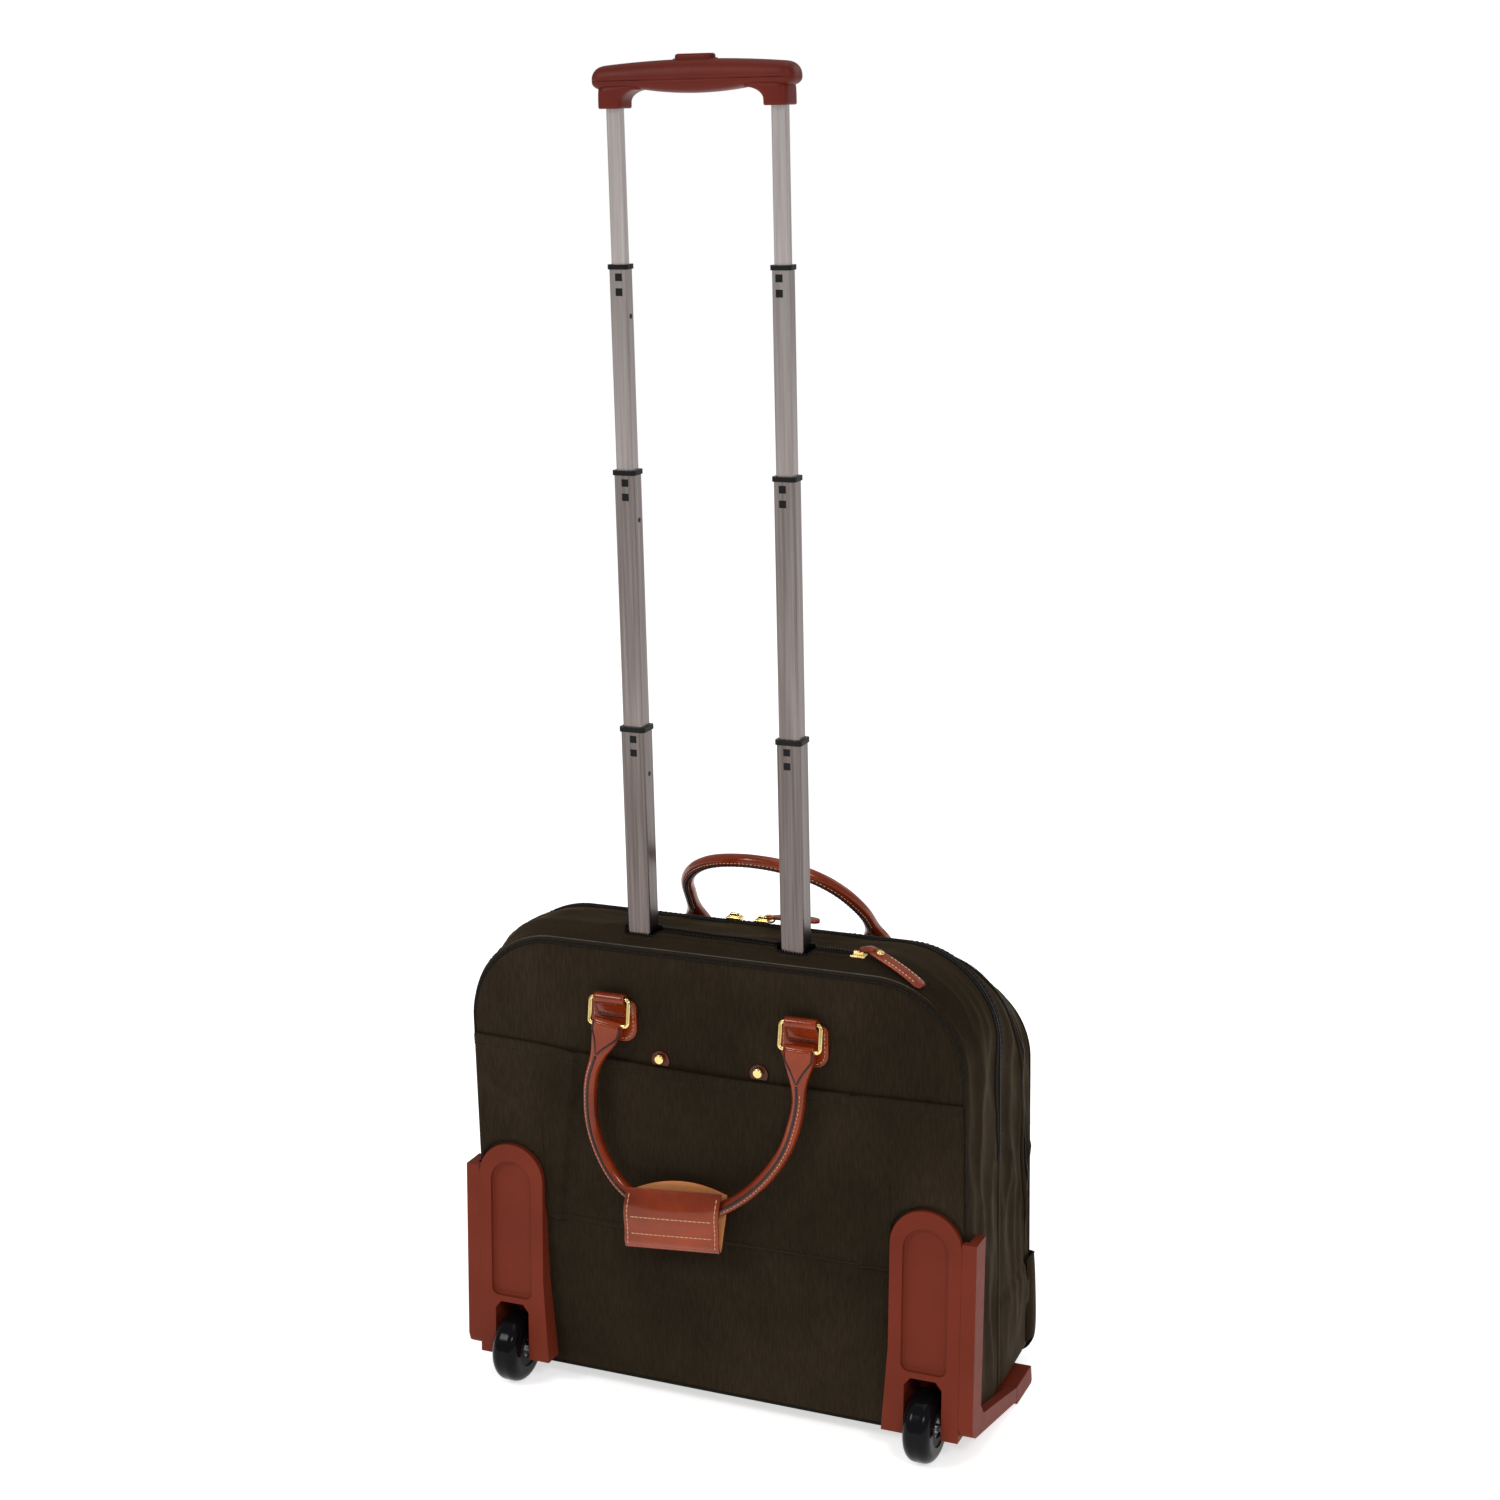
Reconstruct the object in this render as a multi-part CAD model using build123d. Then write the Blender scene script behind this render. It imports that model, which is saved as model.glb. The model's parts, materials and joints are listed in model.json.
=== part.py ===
from build123d import *
import os
from math import cos, radians, sin

os.makedirs("parts", exist_ok=True)

# A wheeled soft flight case, in millimetres. X runs across the case, +Z is up, and the case's back
# panel, which carries the wheels and the telescopic handle, faces -Y. The origin is on the floor,
# at the middle of the whole object's box. "Depth" is measured from the back panel towards the front.

# ---- driving dimensions ----
WIDTH = 430.0             # across the side rails
REAR_REACH = 36.0         # how far the wheels stand behind the back panel
FRONT_DEPTH = 184.0       # back panel to the front of the front pocket
BACK_Y = -(FRONT_DEPTH - REAR_REACH) / 2
GAP = 0.5                 # clearance between parts that only lie side by side

BAG_HALF = 207.0          # half width of the fabric body
BAG_BOTTOM = 16.0
BAG_TOP = 382.0
TOP_RADIUS = 74.0
LOW_RADIUS = 14.0
SKIN = 3.0                # lined and padded fabric wall
PANEL = 2.5               # back fabric and its stiffening board, each
MAIN_ZIP_DEPTH = 73.0     # where the case opens
FRONT_PANEL_DEPTH = 160.0
FRONT_TOP = 328.0         # the top slopes down to this at the front panel
FRONT_HALF = 203.0
FRONT_RADIUS = 62.0
LID_SPLIT = 213.0         # the main zip's side ends: the lid folds above this height

TUBE_X = 63.4             # telescopic tubes, half spacing
TUBE_DEPTH = 22.7
TUBE_STEP = 2.6           # each stage is this much smaller than the one around it
TUBE_WALL = 1.0
TUBE_OUTER = (21.6, 19.6) # fixed stage, across and deep
STAGE_TOPS = [322.0, 547.0, 740.0, 888.0]
STAGE_OVERLAP = 45.0
COLLAR = 3.5
LUG = 5.5
LUG_DROPS = (9.0, 19.5)
PIN_DROP = 37.0

GRIP_BOTTOM = 996.0
GRIP_HALF = 77.5
GRIP_DEPTH = 26.0
GRIP_SPLIT = 1015.0
BUTTON_TOP = 1032.0

WHEEL_X = 175.0
WHEEL_RADIUS = 28.0
WHEEL_WIDTH = 22.0
WHEEL_DEPTH = REAR_REACH - WHEEL_RADIUS   # axle behind the back panel
AXLE_RADIUS = 3.0
RUNNING = 0.06            # radial clearance of a running fit
HOUSING_HALF = 28.5
HOUSING_TOP = 201.0
HOUSING_BOTTOM = 22.5

CHAPE_X = 79.0            # handle rings, half spacing
RING_WIRE = 1.75
RING_WIDTH = 32.5         # centre lines of the rectangular ring
RING_HEIGHT = 20.5
BAR_STANDOFF = 7.5        # ring pivot in front of its panel
BACK_BAR_Z = 338.0
FRONT_BAR_Z = 330.0
BACK_RING_HANG = -101.0   # directions from the pivots, degrees from +Y towards +Z
BACK_HANDLE_HANG = -93.0
FRONT_LEAN = 130.0
ROLL = 5.3                # radius of the rolled leather


# ---- helpers ----
def write(name, *shapes):
    solids = [s for shape in shapes for s in shape.solids()]
    shape = solids[0] if len(solids) == 1 else Compound(children=solids)
    export_step(shape, f"parts/{name}.step")


def block(x0, x1, depth0, depth1, z0, z1):
    centre = ((x0 + x1) / 2, BACK_Y + (depth0 + depth1) / 2, (z0 + z1) / 2)
    return Pos(*centre) * Box(x1 - x0, depth1 - depth0, z1 - z0)


def upright(depth):
    """Plane whose sketch x is X and sketch y is Z, at a depth from the back panel."""
    return Plane((0, BACK_Y + depth, 0), x_dir=(1, 0, 0), z_dir=(0, -1, 0))


def slab(sketch, depth0, depth1):
    return extrude(upright(depth1) * sketch, amount=depth1 - depth0)


def side_prism(points, x0, x1):
    """Outline of (depth, height) points, extruded across from x0 to x1."""
    plane = Plane((x0, BACK_Y, 0), x_dir=(0, 1, 0), z_dir=(1, 0, 0))
    return extrude(plane * make_face(Polyline(*points, close=True)), amount=x1 - x0)


def bar(x0, x1, depth, z, radius):
    length = x1 - x0
    return Pos((x0 + x1) / 2, BACK_Y + depth, z) * Rot(0, 90, 0) * Cylinder(radius, length)


def mirrored(shape):
    return mirror(shape, about=Plane.YZ)


def both(shape):
    return [shape, mirrored(shape)]


def outline(half, bottom, top, low_radius, top_radius):
    shape = Pos(0, (top + bottom) / 2) * Rectangle(2 * half, top - bottom)
    shape = fillet(shape.vertices().group_by(Axis.Y)[-1], top_radius)
    return fillet(shape.vertices().group_by(Axis.Y)[0], low_radius)


def bag_outline(inset):
    return outline(BAG_HALF - inset, BAG_BOTTOM + inset, BAG_TOP - inset, LOW_RADIUS - inset, TOP_RADIUS - inset)


def front_outline(inset):
    return outline(FRONT_HALF - inset, BAG_BOTTOM + inset, FRONT_TOP - inset, LOW_RADIUS - inset, FRONT_RADIUS - inset)


# ---- soft body ----
WELL_HALF = 19.0
WELL_DEPTH = 26.0
WELL_TOP = 72.0


def well_cutter():
    cut = block(WHEEL_X - WELL_HALF - GAP, WHEEL_X + WELL_HALF + GAP, -1, WELL_DEPTH + GAP, 0, WELL_TOP + GAP)
    return both(cut)


SLOT = (-84.0, 92.0, 6.0, 39.5)   # x and depth of the handle slot in the top


def slot_cutter():
    return block(*SLOT, BAG_TOP - 20, BAG_TOP + 10)


def rear_half():
    gusset = slab(bag_outline(0) - bag_outline(SKIN), PANEL, MAIN_ZIP_DEPTH - 1.5)
    write("rear_gusset", gusset - slot_cutter() - well_cutter())
    write("back_panel", slab(bag_outline(0), 0, PANEL) - well_cutter())
    board = slab(bag_outline(SKIN + GAP), PANEL, 2 * PANEL)
    write("back_board", board - well_cutter())
    lining = outline(BAG_HALF - SKIN - GAP, BAG_BOTTOM + SKIN + PANEL + GAP, BAG_TOP - SKIN - GAP, LOW_RADIUS - 4, 70)
    write("tunnel_lining", slab(lining, 40.0, 41.5))
    base = block(-187, 187, 2 * PANEL, FRONT_PANEL_DEPTH - 3, BAG_BOTTOM + SKIN, BAG_BOTTOM + SKIN + PANEL)
    write("base_board", base - well_cutter())


def front_shell():
    start, end = MAIN_ZIP_DEPTH + 1.5, FRONT_PANEL_DEPTH
    outer = loft([upright(start) * bag_outline(0), upright(end) * front_outline(0)])
    inner = loft([upright(start) * bag_outline(SKIN), upright(end) * front_outline(SKIN)])
    return outer - inner


def split(shape, z0, z1):
    return shape & block(-300, 300, -50, 300, z0, z1)


def front_half():
    shell = front_shell()
    panel = slab(front_outline(0), FRONT_PANEL_DEPTH, FRONT_PANEL_DEPTH + SKIN)
    divider = slab(front_outline(SKIN + 6), 107.0, 108.5)
    low, high = LID_SPLIT - GAP, LID_SPLIT + GAP
    base_top = BAG_BOTTOM + SKIN + PANEL + GAP
    write("lower_gusset", split(shell, 0, low))
    write("lower_front_panel", split(panel, 0, low))
    write("lower_divider", split(divider, base_top, low))
    write("lid_gusset", split(shell, high, 400))
    write("lid_front_panel", split(panel, high, 400))
    write("lid_divider", split(divider, high, 400))


POCKET_SIDE = [(163.2, 97), (173, 91), (181, 60), (184, 26), (178, 9), (163.2, 8)]


def front_pocket():
    pocket = side_prism(POCKET_SIDE, -200, 200)
    hollow = side_prism([(165.2, 99), (171.5, 91), (179, 59), (182, 27), (176.5, 11), (165.2, 10)], -198, 198)
    write("front_pocket", pocket - hollow)


def back_pocket():
    """Flat slip pocket on the back panel, its hem dipping a little in the middle."""
    step_x, step_z, seam_z = 138, HOUSING_TOP + 2, 145
    hem = [(-199, 292), (-110, 284), (110, 282), (199, 288)]
    right = [(199, step_z), (step_x, step_z), (step_x, seam_z)]
    left = [(-step_x, seam_z), (-step_x, step_z), (-199, step_z)]
    write("back_pocket", slab(make_face(Polyline(*hem, *right, *left, close=True)), -1.5, -0.1))


def zip_tapes():
    """The main zip's two tapes, over the top and down the sides to the split."""
    band = bag_outline(-1.2) - bag_outline(0)
    rear_tape = slab(band, MAIN_ZIP_DEPTH - 7, MAIN_ZIP_DEPTH - 0.5)
    write("main_zip_rear_tape", split(rear_tape, LID_SPLIT + GAP, 400))
    lid_tape = slab(bag_outline(-1.2) - bag_outline(0.5), MAIN_ZIP_DEPTH + 0.2, MAIN_ZIP_DEPTH + 1.4)
    write("main_zip_lid_tape", split(lid_tape, LID_SPLIT + GAP, 400))
    x0, x1, depth0, depth1 = SLOT
    frame = block(x0 - 7, x1 + 36, depth0 - 3, depth1 + 7, BAG_TOP, BAG_TOP + 1.0) - slot_cutter()
    write("slot_zip_tape", frame)


# ---- wheel housings and rails ----
WEDGE_SIDE = [(0, HOUSING_TOP), (-4, HOUSING_TOP), (-17, HOUSING_BOTTOM), (0, HOUSING_BOTTOM)]
CHANNEL_DEPTH = 3.8
CHANNEL_WIDTH = 36.0
CHANNEL_ENDS = (73.0, 187.0)
FLARE = 4.5                # the plate widens inwards below FLARE_TOP
FLARE_TOP = 90.0


def wedge(shift):
    points = [(depth + (shift if depth < 0 else 0), z) for depth, z in WEDGE_SIDE]
    return side_prism(points, 100, 250)


def channel():
    """Cutter for the arched recess above the wheel, with a soft foot all round its floor."""
    low, high = CHANNEL_ENDS
    shape = Pos(WHEEL_X, (low + high) / 2) * Rectangle(CHANNEL_WIDTH, high - low)
    shape = fillet(shape.vertices().group_by(Axis.Y)[-1], CHANNEL_WIDTH / 2 - 0.1)
    shape = fillet(shape.vertices().group_by(Axis.Y)[0], 6.0)
    cutter = slab(shape, -30, 0) - wedge(CHANNEL_DEPTH)
    floor = max([f for f in cutter.faces() if f.normal_at().Y > 0.9], key=lambda f: f.area)
    return fillet(floor.edges(), 2.6)


def housing():
    inner, outer = WHEEL_X - HOUSING_HALF, WHEEL_X + HOUSING_HALF
    spring = HOUSING_TOP - HOUSING_HALF
    edges = [
        Polyline((inner, spring), (inner, FLARE_TOP), (inner - FLARE, HOUSING_BOTTOM), (outer, HOUSING_BOTTOM),
                 (outer, spring)),
        ThreePointArc((outer, spring), (WHEEL_X, HOUSING_TOP), (inner, spring)),
    ]
    plate = slab(make_face(edges), -30, 0) & wedge(0)
    plate -= channel()
    well = block(WHEEL_X - WELL_HALF, WHEEL_X + WELL_HALF, 0, WELL_DEPTH, HOUSING_BOTTOM, WELL_TOP)
    mouth = [(-15, 0), (15, 0), (15, 62), (10, 68), (-10, 68), (-15, 62)]
    cavity = slab(Pos(WHEEL_X, 0) * make_face(Polyline(*mouth, close=True)), -30, WELL_DEPTH - 2.5)
    return plate + well - cavity - bar(WHEEL_X - 24, WHEEL_X + 24, -WHEEL_DEPTH, WHEEL_RADIUS, AXLE_RADIUS)


RAIL_IN = BAG_HALF + GAP
RAIL_OUT = WIDTH / 2
FLANGE_TOP = 180.0


def rail():
    """Side flange that wraps the lower corner, and the rail that runs forward from it under the side."""
    side = [(-5.5, FLANGE_TOP), (15, FLANGE_TOP), (4, 46), (10, 37), (92, 16), (92, 4), (0, 23.5), (-9, 25.5),
            (-14, 29), (-16, 36)]
    strip = side_prism(side, RAIL_IN, RAIL_OUT)
    corner = [(-0.1, FLANGE_TOP), (-5.5, FLANGE_TOP), (-16, 36), (-14, 29), (-9, 25.5), (-0.1, 23.5)]
    wrap = side_prism(corner, WHEEL_X + HOUSING_HALF, RAIL_IN)
    lip = side_prism([(50, 15.7), (92, 15.7), (92, 4), (50, 13)], RAIL_OUT - 27, RAIL_IN)
    return strip + wrap + lip


def foot():
    side = [(92.6, 15.7), (92.6, 1.5), (95, 0), (131, 0), (133, 2), (131, 15.7)]
    return side_prism(side, RAIL_OUT - 27, RAIL_OUT)


def axle():
    return bar(WHEEL_X - 24, WHEEL_X + 24, -WHEEL_DEPTH, WHEEL_RADIUS, AXLE_RADIUS)


def wheel_ring(inner_radius, outer_radius, width, rounding):
    """Ring about the wheel's axle, with its outer edges rounded."""
    ring = Cylinder(outer_radius, width)
    if rounding:
        ring = fillet(ring.edges().filter_by(GeomType.CIRCLE), rounding)
    ring -= Cylinder(inner_radius, width + 2)
    return Pos(WHEEL_X, BACK_Y - WHEEL_DEPTH, WHEEL_RADIUS) * Rot(0, 90, 0) * ring


def running_gear():
    bearing = wheel_ring(AXLE_RADIUS + RUNNING, 8.0, 5.0, 0)
    hub = wheel_ring(8.0, 15.0, WHEEL_WIDTH - 2, 0)
    tyre = wheel_ring(15.0, WHEEL_RADIUS, WHEEL_WIDTH, 8.0)
    bearings = [Pos(shift, 0, 0) * bearing for shift in (-6.5, 6.5)]
    for side, place in (("right", lambda s: s), ("left", mirrored)):
        write(f"wheel_housing_{side}", place(housing()))
        write(f"side_rail_{side}", place(rail()))
        write(f"wheel_hub_{side}", place(hub))
        write(f"wheel_tyre_{side}", place(tyre))
        write(f"wheel_bearings_{side}", *[place(b) for b in bearings])
    write("feet", *both(foot()))
    write("wheel_axles", *both(axle()))


# ---- telescopic handle ----
def stage_size(stage):
    return TUBE_OUTER[0] - TUBE_STEP * stage, TUBE_OUTER[1] - TUBE_STEP * stage


def rounded_bar(width, depth, radius, z0, z1):
    sketch = RectangleRounded(width, depth, radius)
    return Pos(TUBE_X, BACK_Y + TUBE_DEPTH, z0) * extrude(sketch, amount=z1 - z0)


def tube(stage, z0, z1):
    width, depth = stage_size(stage)
    outer = rounded_bar(width, depth, 2.2, z0, z1)
    inner = rounded_bar(width - 2 * TUBE_WALL, depth - 2 * TUBE_WALL, 1.6, z0 - 1, z1 + 1)
    return outer - inner


def collar(stage, top):
    width, depth = stage_size(stage)
    ring = rounded_bar(width + 2.2, depth + 2.2, 3.0, top - COLLAR, top)
    return ring - rounded_bar(width, depth, 2.2, top - COLLAR - 1, top + 1)


def lugs(stage, top):
    rear = TUBE_DEPTH - stage_size(stage)[1] / 2
    x0, x1 = TUBE_X - LUG / 2 - 1, TUBE_X + LUG / 2 - 1
    return [block(x0, x1, rear, rear + TUBE_WALL, top - d - LUG / 2, top - d + LUG / 2) for d in LUG_DROPS]


def lock_pin(stage, top):
    inner_face = TUBE_X - stage_size(stage)[0] / 2
    return bar(inner_face - 0.2, inner_face + TUBE_WALL, TUBE_DEPTH, top - PIN_DROP, 1.8)


def telescope():
    fixed = tube(0, 24.0, STAGE_TOPS[0])
    write("fixed_tubes", *both(fixed))
    write("fixed_tube_collars", *both(collar(0, STAGE_TOPS[0])))
    for stage in (1, 2, 3):
        top, bottom = STAGE_TOPS[stage], STAGE_TOPS[stage - 1] - STAGE_OVERLAP
        body = tube(stage, bottom, top)
        trim = lugs(stage, top)
        pin = lock_pin(stage, top)
        for cut in (*trim, pin):
            body -= cut
        write(f"stage_{stage}_tubes", *both(body))
        fittings = [collar(stage, top), *trim, pin]
        write(f"stage_{stage}_collars", *[solid for fitting in fittings for solid in both(fitting)])
    write("stage_4_tubes", *both(tube(4, STAGE_TOPS[3] - STAGE_OVERLAP, GRIP_BOTTOM + 11)))


def tube_brackets():
    """Plastic blocks that hold the fixed tubes to the board, one at the foot and one near the top."""
    base_top = BAG_BOTTOM + SKIN + PANEL
    width, depth = stage_size(0)
    for name, z0, z1 in (("lower_tube_bracket", base_top, 46.0), ("upper_tube_bracket", 292.0, 314.0)):
        bracket = block(-84, 84, 2 * PANEL, 38.0, z0, z1)
        for hole in both(rounded_bar(width, depth, 2.2, max(z0 - 1, 24.0), z1 + 1)):
            bracket -= hole
        middle = (z0 + z1) / 2
        for x in (-30, 30):
            bracket -= screw(x, middle)
        write(name, bracket)
    heights = ((base_top + 46.0) / 2, 303.0)
    write("bracket_screws", *[screw(x, z) for x in (-30, 30) for z in heights])


def screw(x, z):
    """Screw through the back board into a bracket, its head sunk in the board's face."""
    return slab(Pos(x, z) * Circle(1.9), 2 * PANEL, 20.0)


# ---- grip ----
CAVITY = (1011.5, 1019.5)
YOKE = (1014.6, 1018.2)


def grip_body():
    left = [(-GRIP_HALF, 1014), (-73, 1008), (-72.5, GRIP_BOTTOM), (-54, GRIP_BOTTOM), (-53, 1002)]
    arch = ThreePointArc((-53, 1002), (-48, 1007.3), (-40, 1008.6))
    belly = ThreePointArc((-40, 1008.6), (0, 1005.4), (40, 1008.6))
    right_arch = ThreePointArc((40, 1008.6), (48, 1007.3), (53, 1002))
    right = [(53, 1002), (54, GRIP_BOTTOM), (72.5, GRIP_BOTTOM), (73, 1008), (GRIP_HALF, 1014)]
    top = ThreePointArc((GRIP_HALF - 3, 1024), (0, 1027.5), (3 - GRIP_HALF, 1024))
    ends = [Polyline((GRIP_HALF, 1014), (GRIP_HALF, 1020), (GRIP_HALF - 3, 1024)),
            Polyline((3 - GRIP_HALF, 1024), (-GRIP_HALF, 1020), (-GRIP_HALF, 1014))]
    face = make_face([Polyline(*left), arch, belly, right_arch, Polyline(*right), ends[0], top, ends[1]])
    half = GRIP_DEPTH / 2
    body = slab(face, TUBE_DEPTH - half, TUBE_DEPTH + half)
    bulge = Pos(0, BACK_Y + TUBE_DEPTH, 1011) * extrude(RectangleRounded(2 * GRIP_HALF, GRIP_DEPTH, 9), amount=17)
    lower = Pos(0, BACK_Y + TUBE_DEPTH, GRIP_BOTTOM) * extrude(RectangleRounded(150, GRIP_DEPTH - 4, 7), amount=15)
    return body & (bulge + lower)


def button_sketch(extra):
    return Pos(0, BACK_Y + TUBE_DEPTH) * SlotOverall(30 + 2 * extra, 12 + 2 * extra)


def grip():
    width, depth = stage_size(4)
    body = grip_body()
    for hole in both(rounded_bar(width, depth, 2.2, GRIP_BOTTOM - 1, GRIP_BOTTOM + 11)):
        body -= hole
    body -= block(-70, 70, TUBE_DEPTH - 5, TUBE_DEPTH + 5, *CAVITY)
    rod_hole = Pos(TUBE_X, BACK_Y + TUBE_DEPTH, GRIP_BOTTOM) * extrude(Circle(2.0), amount=18)
    for hole in both(rod_hole):
        body -= hole
    body -= Pos(0, 0, YOKE[0]) * extrude(button_sketch(0.2), amount=20)
    write("grip_top_cover", body & block(-100, 100, 0, 50, GRIP_SPLIT, 1040))
    write("grip_bottom_cover", body & block(-100, 100, 0, 50, GRIP_BOTTOM - 1, GRIP_SPLIT))
    button = Pos(0, 0, YOKE[1]) * extrude(button_sketch(0), amount=BUTTON_TOP - YOKE[1])
    button = fillet(button.faces().sort_by(Axis.Z)[-1].edges(), 2.0)
    write("release_button", button)
    yoke = block(-67, 67, TUBE_DEPTH - 3, TUBE_DEPTH + 3, *YOKE)
    write("release_yoke", yoke)
    rod_bottom = STAGE_TOPS[3] - STAGE_OVERLAP + 8
    rod = Pos(TUBE_X, BACK_Y + TUBE_DEPTH, rod_bottom) * extrude(Circle(1.6), amount=YOKE[0] - rod_bottom)
    write("release_rods", *both(rod))


# ---- rings, chapes and leather handles ----
def turn_about(depth, z, degrees, shape):
    """Shape built about the origin with its reach along +Y, turned about X and moved to a pivot."""
    return Pos(0, BACK_Y + depth, z) * Rot(degrees, 0, 0) * shape


def ring_at(x):
    path = Pos(x, RING_HEIGHT / 2) * RectangleRounded(RING_WIDTH, RING_HEIGHT, 3.0)
    start = Plane((x, 0, 0), x_dir=(0, 1, 0), z_dir=(1, 0, 0))
    return sweep(start * Circle(RING_WIRE), path=path.wire())


def rings(depth, z, degrees):
    return [turn_about(depth, z, degrees, ring_at(x)) for x in (-CHAPE_X, CHAPE_X)]


def chape(depth_face, outward, z, patch_top, patch_bottom):
    """Leather patch with a loop for the ring's bar. Outward is -1 on the back, 1 on the front."""
    near, far = sorted((depth_face, depth_face + 2.5 * outward))
    patch = block(CHAPE_X - 19, CHAPE_X + 19, near, far, patch_bottom, patch_top)
    near, far = sorted((depth_face, depth_face + (BAR_STANDOFF + 4.0) * outward))
    loop = block(CHAPE_X - 12, CHAPE_X + 12, near, far, z - 4.5, z + 4.5)
    depth = depth_face + BAR_STANDOFF * outward
    hole = bar(CHAPE_X - 20, CHAPE_X + 20, depth, z, RING_WIRE + RUNNING)
    return patch + loop - hole


def outer_bar(depth, z, degrees):
    """Depth and height of the ring's outer bar, which the handle hangs on."""
    return depth + RING_HEIGHT * cos(radians(degrees)), z + RING_HEIGHT * sin(radians(degrees))


def handle_end(x):
    """Leather loop round the ring's outer bar, which is the X axis here; it reaches along +Y."""
    end = Pos(x, 6, 0) * Box(24, 21, 7.5)
    hole = Pos(x, 0, 0) * Rot(0, 90, 0) * Cylinder(RING_WIRE + RUNNING, 40)
    return end - hole


def rolled_leather(points, radii):
    path = FilletPolyline(*points, radius=radii)
    start = Plane(path @ 0, z_dir=path % 0)
    return sweep(start * Circle(ROLL), path=path)


BACK_ROUTE = [(-84, 11), (-97, 50), (-94, 94), (-68, 136), (-18, 150), (30, 128), (66, 88), (79, 46), (77, 11)]
BACK_RADII = [80, 90, 60, 60, 90, 90, 70]
FRONT_ROUTE = [(-77, 11), (-73, 42), (-68, 74), (-44, 99), (-8, 108), (30, 104), (62, 84), (79, 50), (80, 11)]
FRONT_RADII = [110, 60, 50, 70, 60, 60, 70]


def leather_handle(route, radii):
    loop = rolled_leather([(x, reach, 0) for x, reach in route], radii)
    return handle_end(-CHAPE_X) + handle_end(CHAPE_X) + loop


WRAP_CENTRE = (-24.5, 149.0, 0.0)
WRAP_TILT = -5.0


def handle_wrap():
    """Folded leather wrap round the lowest run of the handle, hanging a little askew."""
    body = fillet(Box(80.0, 50.0, 15.0).edges().filter_by(Axis.X), 6.0)
    body = Pos(*WRAP_CENTRE) * Rot(0, 0, WRAP_TILT) * body
    return body - rolled_leather([(x, reach, 0) for x, reach in BACK_ROUTE], BACK_RADII)


def carry_handles():
    back_bar = -BAR_STANDOFF - 0.1
    front_face = FRONT_PANEL_DEPTH + SKIN
    front_bar = front_face + BAR_STANDOFF
    back_loops = chape(-0.1, -1, BACK_BAR_Z, 345.0, 302.0)
    write("back_chapes", *both(back_loops))
    write("front_chapes", *both(chape(front_face, 1, FRONT_BAR_Z, 327.0, 284.0)))
    write("back_rings", *rings(back_bar, BACK_BAR_Z, BACK_RING_HANG))
    write("front_rings", *rings(front_bar, FRONT_BAR_Z, FRONT_LEAN))
    hang = outer_bar(back_bar, BACK_BAR_Z, BACK_RING_HANG)
    stand = outer_bar(front_bar, FRONT_BAR_Z, FRONT_LEAN)
    write("back_handle", turn_about(*hang, BACK_HANDLE_HANG, leather_handle(BACK_ROUTE, BACK_RADII)))
    write("handle_wrap", turn_about(*hang, BACK_HANDLE_HANG, handle_wrap()))
    write("front_handle", turn_about(*stand, FRONT_LEAN, leather_handle(FRONT_ROUTE, FRONT_RADII)))


def studs():
    """Brass studs on round leather washers at the slip pocket's mouth."""
    washer = slab(Pos(41, 290) * Circle(7.5), -1.4, -0.1) - slab(Pos(41, 290) * Rectangle(30, 30), -3, -1.4)
    washers = both(washer & block(0, 100, -2, 0, 285.5, 300))
    write("stud_washers", *washers)
    stud = slab(Pos(41, 291.5) * Circle(4.0), -5.0, -1.4)
    write("pocket_studs", *both(fillet(stud.faces().sort_by(Axis.Y)[0].edges(), 1.5)))


# ---- zip sliders and pullers ----
def slider(x, depth, z):
    body = block(x - 6, x + 6, depth - 4, depth + 4, z + 0.3, z + 3.3)
    return body + block(x - 4, x + 4, depth - 1.2, depth + 1.2, z + 3.3, z + 6.0)


def puller(x, z, length, tilt, turn, depth):
    """Leather tab reaching along +X from its slider, tilted down and turned in plan."""
    tab = Pos(length / 2 + 5, 0, 0) * Box(length, 11, 2.4)
    return Pos(x, BACK_Y + depth, z) * Rot(0, 0, turn) * Rot(0, tilt, 0) * tab


def zip_pulls():
    tape = BAG_TOP + 1.2
    write("main_slider_left", slider(-9, MAIN_ZIP_DEPTH, tape))
    write("main_slider_right", slider(15, MAIN_ZIP_DEPTH, tape))
    write("main_puller", puller(17, tape + 6.5, 40, 0, 0, MAIN_ZIP_DEPTH))
    write("slot_slider", slider(114, 22.0, BAG_TOP + 1.0))
    write("slot_puller", puller(116, BAG_TOP + 9.0, 50, 6, -17, 22.0))


rear_half()
front_half()
front_pocket()
back_pocket()
zip_tapes()
running_gear()
telescope()
tube_brackets()
grip()
carry_handles()
studs()
zip_pulls()
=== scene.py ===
"""Looks of the wheeled flight case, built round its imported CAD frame.

Shapes are worked out in millimetres as (x, depth, z): x across the case, depth from the outer face of
its back panel towards its front, z up from the floor. metres() turns such a point into the row frame.
"""

import json
import math
from functools import lru_cache

import bmesh
import bpy
from mathutils import Matrix, Vector, noise


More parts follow.
